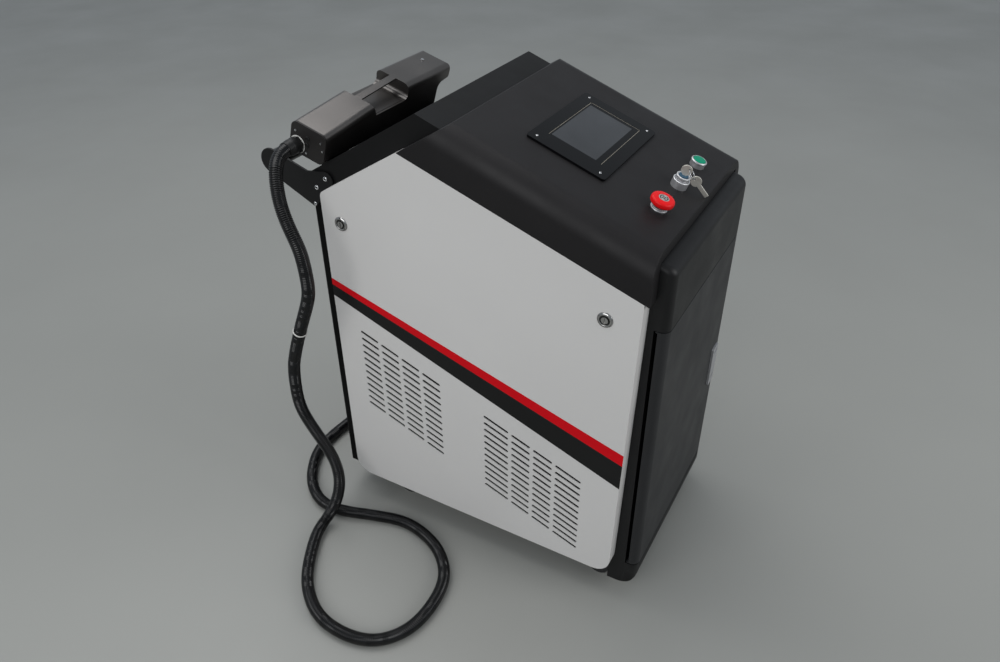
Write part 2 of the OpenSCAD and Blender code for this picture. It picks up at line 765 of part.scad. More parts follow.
// Quarter-turn locks of the side panels
module lock_housing(p) {
    translate([inner_x + panel_d - lock_reach, p[0], p[1]]) rotate([0, 90, 0])
    difference() {
        union() {
            cylinder(r = lock_barrel_r, h = lock_reach);
            translate([0, 0, lock_reach]) cylinder(r = lock_r, h = lock_t);
        }
        translate([0, 0, -over]) cylinder(r = lock_core_r + run_gap, h = lock_reach + lock_t + 2 * over);
    }
}
module lock_core(p) {
    translate([inner_x + panel_d - lock_reach, p[0], p[1]]) rotate([0, 90, 0])
    difference() {
        union() {
            translate([0, 0, -cover_gap - cam_t])
                cylinder(r = lock_core_r, h = lock_reach + lock_t + cover_gap + cam_t);
            translate([-cam_len, -cam_w / 2, -cover_gap - cam_t]) cube([cam_len, cam_w, cam_t]);
        }
        translate([0, 0, lock_reach + lock_t]) cube([lock_core_r * 1.4, screw_t, lock_t], center = true);
    }
}
module cam_lock_housings() {
    color([0.78, 0.78, 0.8])
    both_sides() for (p = [lock_rear, lock_front]) lock_housing(p);
}
module cam_lock_core(i) {
    color([0.6, 0.6, 0.62])
    mirror([i < 2 ? 1 : 0, 0, 0]) lock_core(i % 2 == 0 ? lock_rear : lock_front);
}

// Emergency stop
barrel_floor = 6;
stem_in = barrel_d - barrel_floor;
head_low = stop_collar_h + stop_travel + cover_gap;
stem_top = head_low + stop_t / 2;
head_edge = 3;
module estop_collar() {
    color([0.8, 0.8, 0.82])
    on_deck(stop_x, control_s)
    difference() {
        union() {
            cylinder(r = stop_collar_r, h = stop_collar_h);
            translate([0, 0, -barrel_d]) cylinder(r = barrel_r, h = barrel_d);
        }
        translate([0, 0, -stem_in]) cylinder(r = stem_r + run_gap, h = stem_in + stop_collar_h + over);
    }
}
module estop_stem() {
    color([0.15, 0.15, 0.15])
    on_deck(stop_x, control_s) translate([0, 0, stop_travel + cover_gap - stem_in])
        cylinder(r = stem_r, h = stem_in - stop_travel - cover_gap + stem_top);
}
module estop_head() {
    color([0.86, 0.15, 0.14])
    on_deck(stop_x, control_s)
    difference() {
        translate([0, 0, head_low]) rotate_extrude()
            polygon(concat([[0, 0], [stop_r - head_edge * 2, 0]],
                corner([stop_r - head_edge * 2, 0], [stop_r, head_edge * 1.2], [stop_r, stop_t],
                    head_edge, 6),
                corner([stop_r, 0], [stop_r, stop_t - head_edge / 2], [0, stop_t], head_edge, 6),
                [[stop_r / 2, stop_t], [0, stop_t]]));
        translate([0, 0, head_low - over])
            cylinder(r = stem_r + run_gap, h = stem_top + cover_gap - head_low + over);
    }
}

// Start button
cap_in = 12;
cap_proud = 1;
cap_t = 3;
start_stem_r = 8;
module start_bezel() {
    color([0.8, 0.8, 0.82])
    on_deck(start_x, control_s)
    difference() {
        union() {
            cylinder(r = start_r - sheet / 2, h = start_h);
            translate([0, 0, start_h - sheet * 2]) cylinder(r = start_r, h = sheet * 2);
            translate([0, 0, -barrel_d]) cylinder(r = barrel_r, h = barrel_d);
        }
        translate([0, 0, -cap_in]) cylinder(r = start_stem_r + run_gap, h = cap_in + start_h + over);
        translate([0, 0, start_h + cap_proud - cap_t - start_travel - cover_gap])
            cylinder(r = start_cap_r + run_gap, h = cap_t + start_travel + cover_gap + over);
    }
}
module start_cap() {
    color([0.04, 0.55, 0.43])
    on_deck(start_x, control_s)
    union() {
        translate([0, 0, start_travel + cover_gap - cap_in])
            cylinder(r = start_stem_r, h = cap_in - start_travel - cover_gap + start_h);
        translate([0, 0, start_h + cap_proud - cap_t]) cylinder(r = start_cap_r, h = cap_t);
    }
}

// Key switch, its key, and the ring with the spare key
core_in = 18;
core_proud = 1;
key_turn = -78;
bow_z = switch_h + core_proud + bow_r;
ring_hole = [bow_r * 0.42, bow_z + bow_r * 0.32];
ring_dip = 40;
spare_hole = ring_hole + 2 * ring_r * [cos(ring_dip), -sin(ring_dip)];
bow_hole_in = bow_r * 0.35;
// The spare key leans out from the ring until its tip almost rests on the deck
spare_reach = key_len - bow_r + bow_hole_in + bow_hole_r;
spare_dip = asin((spare_hole[1] - cover_gap) / norm([spare_reach, blade_w / 2]))
    - atan2(blade_w / 2, spare_reach);
module key_switch_body() {
    color([0.78, 0.78, 0.8])
    on_deck(key_x, control_s)
    difference() {
        union() {
            cylinder(r = switch_r, h = switch_low_h);
            cylinder(r = switch_top_r, h = switch_h);
            translate([0, 0, -barrel_d]) cylinder(r = barrel_r, h = barrel_d);
        }
        translate([0, 0, -core_in]) cylinder(r = core_r + run_gap, h = core_in + switch_h + over);
    }
}
key_slot_in = 14;
module key_switch_core() {
    color([0.12, 0.38, 0.6])
    on_deck(key_x, control_s) rotate([0, 0, key_turn])
    difference() {
        translate([0, 0, cover_gap - core_in])
            cylinder(r = core_r, h = core_in - cover_gap + switch_h + core_proud);
        translate([-blade_w / 2, -key_t / 2, switch_h + core_proud - key_slot_in])
            cube([blade_w, key_t, key_slot_in + over]);
    }
}
// A key's flat outline in XZ: the bow at the top, the blade straight down from it
module key_blank(blade) {
    rotate([90, 0, 0]) translate([0, 0, -key_t / 2])
    linear_extrude(key_t)
    union() {
        circle(r = bow_r);
        translate([-blade_w / 2, -bow_r - blade]) square([blade_w, blade + bow_r / 2]);
    }
}
module switch_key() {
    color([0.72, 0.7, 0.64])
    on_deck(key_x, control_s) rotate([0, 0, key_turn])
    difference() {
        translate([0, 0, bow_z]) key_blank(key_slot_in);
        translate([ring_hole[0], key_t, ring_hole[1]]) rotate([90, 0, 0])
            cylinder(r = bow_hole_r, h = 2 * key_t);
    }
}
module key_ring() {
    color([0.75, 0.75, 0.76])
    on_deck(key_x, control_s) rotate([0, 0, key_turn])
        translate([ring_hole[0], 0, ring_hole[1]]) rotate([0, ring_dip, 0]) translate([ring_r, 0, 0])
            rotate_extrude() translate([ring_r, 0]) circle(r = ring_wire, $fn = 16);
}
module spare_key() {
    color([0.72, 0.7, 0.64])
    on_deck(key_x, control_s) rotate([0, 0, key_turn])
    translate([spare_hole[0], 0, spare_hole[1]]) rotate([0, spare_dip - 90, 0])
    difference() {
        translate([0, 0, -bow_hole_in - bow_hole_r]) key_blank(key_len - 2 * bow_r);
        translate([0, key_t, 0]) rotate([90, 0, 0]) cylinder(r = bow_hole_r, h = 2 * key_t);
    }
}

// Handle: side plates bounded by tangents of three circles, kept off the side panels
module tangent_pair(a, ra, b, rb) {
    d = norm(b - a);
    turn = asin((ra - rb) / d);
    axis = atan2(b[1] - a[1], b[0] - a[0]);
    left = axis + 90 - turn;
    right = axis - 90 + turn;
    polygon([a + ra * [cos(left), sin(left)], b + rb * [cos(left), sin(left)],
        b + rb * [cos(right), sin(right)], a + ra * [cos(right), sin(right)]]);
}
module handle_outline() {
    union() {
        translate(handle_fix) circle(r = handle_fix_r);
        translate(handle_foot) circle(r = handle_foot_r);
        translate(handle_tip) circle(r = handle_tip_r);
        tangent_pair(handle_tip, handle_tip_r, handle_dip, handle_dip_r);
        tangent_pair(handle_dip, handle_dip_r, handle_fix, handle_fix_r);
        tangent_pair(handle_tip, handle_tip_r, handle_foot, handle_foot_r);
        tangent_pair(handle_fix, handle_fix_r, handle_foot, handle_foot_r);
        polygon([handle_fix, handle_foot, handle_tip]);
    }
}
module handle_plates() {
    color([0.13, 0.13, 0.13])
    both_sides()
    difference() {
        translate([inner_x, 0, 0]) rotate([90, 0, 90]) linear_extrude(handle_t) handle_outline();
        side_prism(inset(tray_pts, -cover_gap), inner_x - over, inner_x + handle_t + over);
    }
}
module handle_bar() {
    color([0.06, 0.06, 0.06])
    translate([-inner_x, handle_tip[0], handle_tip[1]]) rotate([0, 90, 0])
        cylinder(r = bar_r, h = 2 * inner_x);
}

// Gun frame: X along the gun from its hose end, Y across its width, Z up from its lower near corner.
// The gun's rounded lower edge lies just above the rear cover.
lie_angle = rear_slope + gun_tilt;
gun_y = rear_y - gun_in;
gun_z = rear_z(gun_y, cover_rise)
    + (2 * cover_gap + gun_edge_r * (1 - sin(lie_angle) - cos(lie_angle))) / cos(rear_slope);
function gun_point(v, w) = [gun_y + v * cos(gun_tilt) - w * sin(gun_tilt),
    gun_z + v * sin(gun_tilt) + w * cos(gun_tilt)];
module on_gun() {
    translate([gun_x, gun_y, gun_z]) rotate([gun_tilt, 0, 0]) children();
}

// Gun rest: two arms from the rear cover, each with a seat and a rear lip, joined by a plate
seat_low = -cover_gap;
lip_in = gun_w + cover_gap;
// The seat starts where its plane comes out of the rear cover
seat_v = (rear_z(gun_y, cover_rise) - gun_z
    - seat_low * (cos(gun_tilt) - sin(gun_tilt) * tan(rear_slope)))
    / (sin(gun_tilt) + cos(gun_tilt) * tan(rear_slope));
arm_top = gun_point(seat_v, seat_low);
module gun_cradle() {
    pts = [arm_top, gun_point(lip_in, seat_low), gun_point(lip_in, lip_h), gun_point(lip_in + lip_t, lip_h),
        gun_point(lip_in + lip_t, seat_low - 2 * lip_t), [rear_y + foot_t, cover_top - foot_h / 2],
        [rear_y + foot_t, cover_top - foot_h], [rear_y, cover_top - foot_h], [rear_y, cover_top]];
    color([0.12, 0.12, 0.12])
    union() {
        for (i = [-1, 1]) side_prism(pts, i * arm_span / 2 - arm_w / 2, i * arm_span / 2 + arm_w / 2);
        block([-arm_span / 2, rear_y, cover_top - foot_h],
            [arm_span / 2, rear_y + foot_t / 2, cover_top - sheet]);
    }
}

// Gun body, from its side outline in XZ
low_x = gun_back_len + gun_step;
scoop_x = low_x + gun_low_len;
block_x = scoop_x + scoop_r - scoop_lean;
under_x = gun_len - undercut_len;
nose_drop = 3;
under_h = gun_top_h - nose_face_h - nose_drop;
nose_top_r = 4;
nose_low_r = 6;
gun_pts = concat([[0, 0], [0, gun_end_h], [gun_back_len, gun_back_h], [low_x, gun_low_h]],
    [for (a = [0:15:90]) [scoop_x, gun_low_h + scoop_r] + scoop_r * [sin(a), -cos(a)]],
    [[block_x, gun_top_h]],
    corner([block_x, gun_top_h], [gun_len, gun_top_h], [gun_len, 0], nose_top_r, 4),
    corner([gun_len, gun_top_h], [gun_len, gun_top_h - nose_face_h], [under_x + undercut_r, under_h],
        nose_low_r, 6),
    [for (a = [0:15:90]) [under_x + undercut_r, under_h - undercut_r] + undercut_r * [-sin(a), cos(a)]],
    [[under_x, 0]]);
strip_pts = [[gun_back_len, gun_back_h], [block_x, gun_top_h], [block_x + 2 * over, gun_top_h - strip_t],
    [gun_back_len - over, gun_back_h - strip_t]];
back_slope = atan((gun_back_h - gun_end_h) / gun_back_len);
plate_margin = 3.5;
lens_w = gun_w * 0.6;
lens_h = nose_face_h * 0.5;
lens_t = 2;
trigger_x = gun_len * 0.38;
trigger_z = gun_low_h / 2;
trigger_in = 10;
trigger_proud = 7;
lens_low = gun_top_h - nose_face_h / 2 - lens_h / 2;
// A bar along the gun with rounded lower and upper long edges
module gun_rail(length, h, low_r, top_r) {
    rotate([90, 0, 90]) linear_extrude(length)
        polygon(rounded([[0, 0], [gun_w, 0], [gun_w, h], [0, h]], [low_r, low_r, top_r, top_r]));
}
// A prism across the gun's width from y0 to y1
module gun_prism(pts, y0, y1) {
    translate([0, y1, 0]) rotate([90, 0, 0]) linear_extrude(y1 - y0) polygon(pts);
}
module gun_solid() {
    intersection() {
        gun_prism(gun_pts, 0, gun_w);
        translate([-over, 0, 0]) gun_rail(gun_len + 2 * over, gun_top_h, gun_edge_r, gun_edge_r);
        union() {
            translate([0, 0, gun_end_h]) rotate([0, -back_slope, 0])
                translate([-2 * gun_edge_r, 0, -2 * gun_top_h])
                gun_rail(low_x + 3 * gun_edge_r, 2 * gun_top_h, 0, gun_edge_r);
            block([low_x, 0, 0], [gun_len, gun_w, gun_top_h]);
        }
    }
}
module gun_body() {
    color([0.38, 0.37, 0.36])
    on_gun()
    difference() {
        union() {
            gun_solid();
            gun_prism(strip_pts, (gun_w - strip_w) / 2, (gun_w + strip_w) / 2);
        }
        translate([gun_len - lens_t, (gun_w - lens_w) / 2, lens_low])
            cube([lens_t + over, lens_w, lens_h]);
        translate([trigger_x - trigger_len / 2 - run_gap, gun_w - trigger_in,
            trigger_z - trigger_w / 2 - run_gap])
            cube([trigger_len, trigger_in + over, trigger_w] + [2, 0, 2] * run_gap);
    }
}
module gun_cover_plate() {
    color([0.3, 0.29, 0.28])
    on_gun()
    translate([low_x + plate_margin, plate_margin, gun_low_h])
        cube([gun_low_len - 2 * plate_margin, gun_w - 2 * plate_margin, sheet / 2]);
}
module gun_end_plate() {
    color([0.07, 0.07, 0.07])
    on_gun()
    translate([-end_plate_t, 0, 0]) gun_rail(end_plate_t, gun_end_h, gun_edge_r, gun_edge_r);
}
module gun_lens() {
    color([0.5, 0.6, 0.7, 0.5])
    on_gun()
    translate([gun_len - lens_t, (gun_w - lens_w) / 2 + cover_gap, lens_low + cover_gap])
        cube([lens_t, lens_w, lens_h] - [1, 2, 2] * cover_gap);
}
hose_v = 58.8;
hose_w = 17;
// Places of the end plate's screws across and up the plate, as shares of its width and height
end_screw_shares = [[0.86, 0.72], [0.13, 0.73], [0.06, 0.5], [0.5, 0.16]];
top_screw_share = 0.9;
top_screw_side_share = 0.59;
module gun_screws() {
    color([0.75, 0.75, 0.76])
    on_gun()
    union() {
        for (p = end_screw_shares)
            translate([-end_plate_t - screw_t, gun_w * p[0], gun_end_h * p[1]]) rotate([0, 90, 0])
                cylinder(r = screw_r * 0.6, h = screw_t);
        translate([gun_len * top_screw_share, gun_w * top_screw_side_share, gun_top_h])
            cylinder(r = screw_r, h = screw_t);
    }
}
module gun_trigger() {
    color([0.7, 0.1, 0.1])
    on_gun()
    translate([trigger_x - trigger_len / 2, gun_w - trigger_in + trigger_travel + cover_gap,
        trigger_z - trigger_w / 2])
        cube([trigger_len, trigger_in - trigger_travel - cover_gap + trigger_proud, trigger_w]);
}
module gun_hose_nut() {
    color([0.1, 0.1, 0.1])
    on_gun()
    translate([-end_plate_t - nut_len, hose_v, hose_w]) rotate([0, 90, 0])
    union() {
        translate([0, 0, nut_len / 2]) cylinder(r = nut_r, h = nut_len / 2, $fn = 6);
        cylinder(r = hose_r + sheet, h = nut_len / 2 + over);
    }
}

// Hose route, chosen by eye along the hose's centre line
upper_route = [[-230, 293, 824], [-242, 293, 824], [-255, 293, 824], [-275, 288, 815],
    [-291, 279, 790], [-303, 267, 752], [-310, 247, 710], [-311, 230, 672], [-306, 230, 603],
    [-300, 242, 563], [-296, 272, 498], [-295, 282, 475]];
lower_route = [[-295, 282, 475], [-294, 292, 452], [-290, 312, 405], [-287, 327, 355], [-285, 330, 264],
    [-285, 299, 205], [-292, 255, 160], [-307, 229, 118], [-323, 233, 62], [-345, 247, 22],
    [-379, 247, 12.5], [-461, 204, 12.5], [-512, 160, 12.5], [-547, 99, 12.5], [-552, 25, 12.5],
    [-530, -31, 12.5], [-475, -67, 12.5], [-397, -71, 12.5], [-336, -50, 12.5], [-287, 7, 12.5],
    [-266, 89, 12.5], [-282, 163, 12.5], [-306, 239, 12.5], [-305, 300, 12.5], [-263, 361, 12.5],
    [-186, 408, 12.5], [-116, 415, 12.5], [-56, 410, 12.5], [-5, 412, 16], [45, 415, 28], [82, 405, 46], [110, 377, 68],
    [120, 341, 92], [120, 315, 92]];
lower_step = 60;
hose_sides = 10;
rib_sides = 8;

// Catmull-Rom curve through the route's points, with a ring about every step
function route_at(p, i, t) =
    let (a = p[max(i - 1, 0)], b = p[i], c = p[i + 1], d = p[min(i + 2, len(p) - 1)])
    0.5 * (2 * b + (c - a) * t + (2 * a - 5 * b + 4 * c - d) * t * t + (3 * b - a - 3 * c + d) * t * t * t);
function curve(p, step) = concat([for (i = [0:len(p) - 2])
    let (n = max(1, round(norm(p[i + 1] - p[i]) / step)))
    for (k = [0:n - 1]) route_at(p, i, k / n)], [p[len(p) - 1]]);
function tangents(p) = [for (i = [0:len(p) - 1]) unit(p[min(i + 1, len(p) - 1)] - p[max(i - 1, 0)])];
function square_to(u, t) = unit(u - (u * t) * t);
function normals(t) = [for (i = 0, u = square_to([0, 1, 0], t[0]); i < len(t);
    i = i + 1, u = i < len(t) ? square_to(u, t[i]) : u) u];
// Rings of points round a path, one radius a ring
function rings(p, radii, sides) = let (t = tangents(p), u = normals(t))
    [for (i = [0:len(p) - 1]) for (k = [0:sides - 1])
    p[i] + radii[i] * (cos(360 * k / sides) * u[i] + sin(360 * k / sides) * cross(t[i], u[i]))];
function skin(count, sides, first) = [for (i = [0:count - 2]) for (k = [0:sides - 1])
    let (a = first + i * sides + k, b = first + i * sides + (k + 1) % sides)
    each [[a, a + sides, b], [b, a + sides, b + sides]]];
function flipped(faces) = [for (f = faces) [f[0], f[2], f[1]]];
function fan(sides, first) = [for (k = [1:sides - 2]) [first, first + k, first + k + 1]];
// Flat ring between an outer and an inner loop of points
function washer(sides, outer, inner) = [for (k = [0:sides - 1]) let (n = (k + 1) % sides)
    each [[outer + k, outer + n, inner + k], [outer + n, inner + n, inner + k]]];

module plain_tube(route, step, r, sides) {
    p = curve(route, step);
    last = (len(p) - 1) * sides;
    polyhedron(rings(p, [for (i = p) r], sides),
        concat(skin(len(p), sides, 0), fan(sides, 0), flipped(fan(sides, last))));
}
module ribbed_tube(route, r, sides) {
    p = curve(route, rib_pitch / 2);
    inner = [for (i = [0:len(p) - 1]) if (i % 8 == 0 || i == len(p) - 1) p[i]];
    outer_radii = [for (i = [0:len(p) - 1]) i % 2 == 0 ? r - rib_depth : r];
    inner_first = len(p) * sides;
    polyhedron(
        concat(rings(p, outer_radii, sides),
            rings(inner, [for (i = inner) r - rib_depth - hose_wall], sides)),
        concat(skin(len(p), sides, 0), flipped(skin(len(inner), sides, inner_first)),
            washer(sides, 0, inner_first),
            flipped(washer(sides, (len(p) - 1) * sides, inner_first + (len(inner) - 1) * sides))));
}
module hose_upper() {
    color([0.07, 0.07, 0.07]) ribbed_tube(upper_route, hose_r, rib_sides);
}
module hose_lower() {
    color([0.07, 0.07, 0.07]) plain_tube(lower_route, lower_step, hose_r, hose_sides);
}
tie_w = 3;
tie_t = 1.5;
tie_up = upper_route[len(upper_route) - 1] - upper_route[len(upper_route) - 2];
module hose_tie() {
    color([0.8, 0.8, 0.78])
    translate(upper_route[len(upper_route) - 1])
    rotate([0, acos(unit(tie_up)[2]), atan2(tie_up[1], tie_up[0])])
    translate([0, 0, -tie_w / 2])
    difference() {
        cylinder(r = hose_r + cover_gap + tie_t, h = tie_w);
        translate([0, 0, -over]) cylinder(r = hose_r + cover_gap, h = tie_w + 2 * over);
    }
}
module hose_gland() {
    color([0.1, 0.1, 0.1])
    translate([gland_x, rear_y, gland_z]) rotate([-90, 0, 0])
    union() {
        translate([0, 0, -sheet - over]) cylinder(r = gland_pipe_r, h = sheet + 2 * over);
        cylinder(r = gland_r, h = gland_len / 2, $fn = 6);
        cylinder(r = hose_r + sheet, h = gland_len);
    }
}

// Casters: plates under the chassis floor, swivel forks, wheels
swivel_r = 6;
race_r = 16;
race_h = 3;
fork_t = 2.5;
axle_r = 3;
wheel_play = 1;
tread_r = 3;
caster_x = inner_x - caster_in;
fork_top = ride_h - caster_plate_t - race_h - cover_gap;
caster_places = [[-caster_x, nose_rear_y + caster_front_in], [caster_x, nose_rear_y + caster_front_in],
    [-caster_x, rear_y - caster_rear_in], [caster_x, rear_y - caster_rear_in]];
module caster_plates() {
    color([0.7, 0.7, 0.72])
    for (p = caster_places)
        translate([p[0], p[1], ride_h - caster_plate_t])
        difference() {
            union() {
                linear_extrude(caster_plate_t) square(caster_plate_w, center = true);
                translate([0, 0, -race_h]) cylinder(r = race_r, h = race_h);
            }
            translate([0, 0, -race_h - over])
                cylinder(r = swivel_r + run_gap, h = race_h + caster_plate_t / 2 + over);
        }
}
module caster_fork(i) {
    p = caster_places[i];
    leg_in = wheel_w / 2 + wheel_play;
    color([0.72, 0.72, 0.74])
    translate([p[0], p[1], 0])
    union() {
        translate([0, 0, fork_top - fork_t]) cylinder(r = race_r, h = fork_t);
        translate([0, 0, fork_top - fork_t])
            cylinder(r = swivel_r, h = fork_t + race_h + caster_plate_t / 2);
        for (s = [-1, 1])
            translate([s * (leg_in + fork_t / 2) - fork_t / 2, 0, 0])
                side_prism([[race_r * 0.6, fork_top - fork_t / 2], [-race_r * 0.9, fork_top - fork_t / 2],
                    [-caster_trail - axle_r * 2, wheel_r - axle_r], [-caster_trail, wheel_r - 2 * axle_r],
                    [-caster_trail + axle_r * 2, wheel_r - axle_r]], 0, fork_t);
        translate([-leg_in - fork_t, -caster_trail, wheel_r]) rotate([0, 90, 0])
            cylinder(r = axle_r, h = 2 * (leg_in + fork_t));
    }
}
module caster_wheel(i) {
    p = caster_places[i];
    color([0.12, 0.12, 0.13])
    translate([p[0] - wheel_w / 2, p[1] - caster_trail, wheel_r]) rotate([0, 90, 0])
    difference() {
        rotate_extrude()
            polygon(rounded([[0, 0], [wheel_r, 0], [wheel_r, wheel_w], [0, wheel_w]],
                [0, 1, 1, 0] * tread_r, 5));
        translate([0, 0, -over]) cylinder(r = axle_r + run_gap, h = wheel_w + 2 * over);
    }
}

// Inside
floor_z = ride_h + sheet;
laser_rear_y = rear_y - sheet - unit_gap;
supply_front_y = nose_rear_y + unit_gap;
module laser_source() {
    color([0.65, 0.65, 0.67])
    block([-laser_w / 2, laser_rear_y - laser_len, floor_z],
        [laser_w / 2, laser_rear_y, floor_z + laser_h]);
}
// The power supply lies across the cabinet, in front of the laser source
module power_supply() {
    color([0.6, 0.6, 0.6])
    block([-supply_len / 2, supply_front_y, floor_z],
        [supply_len / 2, supply_front_y + supply_w, floor_z + supply_h]);
}
fan_wall = 4;
hub_r = 18;
blade_t = 2;
module fan_frame() {
    color([0.08, 0.08, 0.08])
    translate([fan_x, rear_y - sheet, fan_z]) rotate([90, 0, 0])
    difference() {
        translate([-fan_w / 2, -fan_w / 2, 0]) cube([fan_w, fan_w, fan_d]);
        translate([0, 0, fan_wall]) cylinder(r = fan_w / 2 - fan_wall, h = fan_d);
        difference() {
            translate([0, 0, -over]) cylinder(r = fan_w / 2 - fan_wall, h = fan_d);
            for (a = [0, 90])
                rotate([0, 0, a]) translate([-fan_w / 2, -fan_wall, -2 * over])
                    cube([fan_w, 2 * fan_wall, fan_d]);
            translate([0, 0, -2 * over]) cylinder(r = hub_r, h = fan_d);
        }
        translate([0, 0, -over]) cylinder(r = axle_r, h = 2 * over);
    }
    color([0.08, 0.08, 0.08])
    translate([fan_x, rear_y - sheet - fan_wall, fan_z]) rotate([90, 0, 0])
        cylinder(r = axle_r, h = fan_d / 2);
}
module fan_rotor() {
    color([0.12, 0.12, 0.12])
    translate([fan_x, rear_y - sheet - fan_wall - cover_gap, fan_z]) rotate([90, 0, 0])
    difference() {
        union() {
            cylinder(r = hub_r, h = fan_d - fan_wall - 2 * over);
            for (a = [0:45:315]) rotate([0, 0, a]) translate([hub_r - over, 0, over]) rotate([50, 0, 0])
                cube([fan_w / 2 - fan_wall - hub_r - over, blade_t, fan_d / 2]);
        }
        translate([0, 0, -over]) cylinder(r = axle_r + run_gap, h = fan_d / 2 + cover_gap + over);
    }
}
rocker_h = 20;
rocker_w = 26;
rocker_t = 6;
rocker_play = 0.5;
rocker_tilt = 10;
inlet_rim = 5;
rocker_z = inlet_z + inlet_h / 2 - rocker_h / 2 - inlet_rim;
socket_w = 28;
socket_h = 20;
socket_d = 18;
rocker_pin_r = 1.5;
module power_inlet() {
    color([0.07, 0.07, 0.07])
    difference() {
        union() {
            translate([inlet_x, rear_y + sheet / 2, inlet_z])
                cube([inlet_w, sheet, inlet_h], center = true);
            translate([inlet_x, rear_y - socket_d / 2, inlet_z])
                cube([inlet_w, socket_d + sheet, inlet_h] - [1, 0, 1] * (2 * inlet_wall + cover_gap),
                    center = true);
        }
        translate([inlet_x, rear_y - socket_d / 2 + sheet + over, inlet_z - inlet_h / 5])
            cube([socket_w, socket_d, socket_h], center = true);
        translate([inlet_x, rear_y - socket_d / 4 + sheet + over, rocker_z])
            cube([rocker_w, socket_d / 2 + 2 * over, rocker_h], center = true);
        translate([inlet_x, rear_y, rocker_z]) rotate([0, 90, 0])
            cylinder(r = rocker_pin_r + run_gap, h = rocker_w + 2 * inlet_wall, center = true);
    }
}
module main_switch() {
    color([0.7, 0.08, 0.08])
    translate([inlet_x, rear_y, rocker_z])
    union() {
        rotate([rocker_tilt, 0, 0]) translate([0, over, 0])
            cube([rocker_w - 2 * rocker_play, rocker_t, rocker_h - rocker_h / 5], center = true);
        rotate([0, 90, 0]) cylinder(r = rocker_pin_r, h = rocker_w + 2 * inlet_wall - over, center = true);
    }
}

chassis_frame();
rear_panel();
rear_cover();
deck_cover();
front_housing();
front_door();
door_pivots();
left_side_panel();
right_side_panel();
stripe_red();
stripe_black();
cam_lock_housings();
cam_lock_core(0);  // cam_lock_core_1
cam_lock_core(1);  // cam_lock_core_2
cam_lock_core(2);  // cam_lock_core_3
cam_lock_core(3);  // cam_lock_core_4
screen_bezel();
screen_glass();
cover_screws();
estop_collar();
estop_stem();
estop_head();
start_bezel();
start_cap();
key_switch_body();
key_switch_core();
switch_key();
key_ring();
spare_key();
handle_plates();
handle_bar();
gun_cradle();
gun_body();
gun_cover_plate();
gun_end_plate();
gun_screws();
gun_trigger();
gun_lens();
gun_hose_nut();
hose_upper();
hose_lower();
hose_tie();
hose_gland();
caster_plates();
caster_fork(0);  // caster_fork_1
caster_fork(1);  // caster_fork_2
caster_fork(2);  // caster_fork_3
caster_fork(3);  // caster_fork_4
caster_wheel(0);  // caster_wheel_1
caster_wheel(1);  // caster_wheel_2
caster_wheel(2);  // caster_wheel_3
caster_wheel(3);  // caster_wheel_4
laser_source();
power_supply();
fan_frame();
fan_rotor();
power_inlet();
main_switch();
latch_body();
latch_paddle();
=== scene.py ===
# Looks of a laser cleaning machine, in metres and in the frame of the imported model.
import json
import math

import bmesh
import bpy
from mathutils import Euler, Matrix, Vector


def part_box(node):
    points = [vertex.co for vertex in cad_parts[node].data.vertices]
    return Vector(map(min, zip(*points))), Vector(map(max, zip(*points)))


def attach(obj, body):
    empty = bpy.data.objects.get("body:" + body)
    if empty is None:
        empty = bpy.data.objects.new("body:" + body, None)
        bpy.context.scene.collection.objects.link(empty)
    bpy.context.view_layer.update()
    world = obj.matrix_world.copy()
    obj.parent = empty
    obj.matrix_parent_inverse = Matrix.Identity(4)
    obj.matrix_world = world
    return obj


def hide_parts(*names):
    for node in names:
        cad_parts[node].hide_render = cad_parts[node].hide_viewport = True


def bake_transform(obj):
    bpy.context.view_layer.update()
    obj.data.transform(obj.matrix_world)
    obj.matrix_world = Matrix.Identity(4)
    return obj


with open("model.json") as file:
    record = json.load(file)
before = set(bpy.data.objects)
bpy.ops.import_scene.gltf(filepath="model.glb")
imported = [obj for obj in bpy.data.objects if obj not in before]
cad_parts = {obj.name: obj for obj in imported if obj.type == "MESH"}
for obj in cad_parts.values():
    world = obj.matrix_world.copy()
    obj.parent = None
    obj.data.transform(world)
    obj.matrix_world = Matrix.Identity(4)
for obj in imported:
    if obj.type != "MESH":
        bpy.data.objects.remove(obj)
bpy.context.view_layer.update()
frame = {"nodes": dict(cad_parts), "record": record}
node_slots = {part["node"]: part["material_slot"] for part in frame["record"]["subparts"]}
MM = 0.001

# Faces that meet at a smaller angle than this shade as one surface
SMOOTH_DEG, PLATE_SMOOTH_DEG, ROUND_SMOOTH_DEG = 35, 30, 60
# Points closer than this are one point
WELD_REACH = 0.00001
# The usual broken edge, and the sides of the finest turned bodies
EDGE_WIDTH, EDGE_SEGMENTS = 0.0004, 2
FINE_SIDES = 64

# Photograph: focal length in pixels of its width, and where the camera stood
PHOTO_WIDTH_PX = 1000
FOCAL_PX = 810.5
SENSOR_MM = 36
CAMERA_PLACE = (-1.225, -0.6881, 1.3657)
CAMERA_TURN_DEG = (55.265, 0.331, -60.724)

# Driving places of the part, as its source has them. On the deck x runs across, s up the slope
# from its front edge, and W, H and T are widths, heights and thicknesses.
DECK_SLOPE = math.radians(20)
DECK_EDGE = Vector((0, -0.382, 0.7795))
CONTROL_S = 0.049
STOP_X, KEY_X, START_X = -0.0915, 0.001, 0.097
BEZEL_X, BEZEL_S, BEZEL_T = 0.004, 0.217, 0.004
SCREWS_W, SCREWS_H = 0.207, 0.121
WINDOW_X, WINDOW_W, WINDOW_H = 0.010, 0.171, 0.102
# Turned bodies on the deck start this far below its surface
SUNK = 0.001

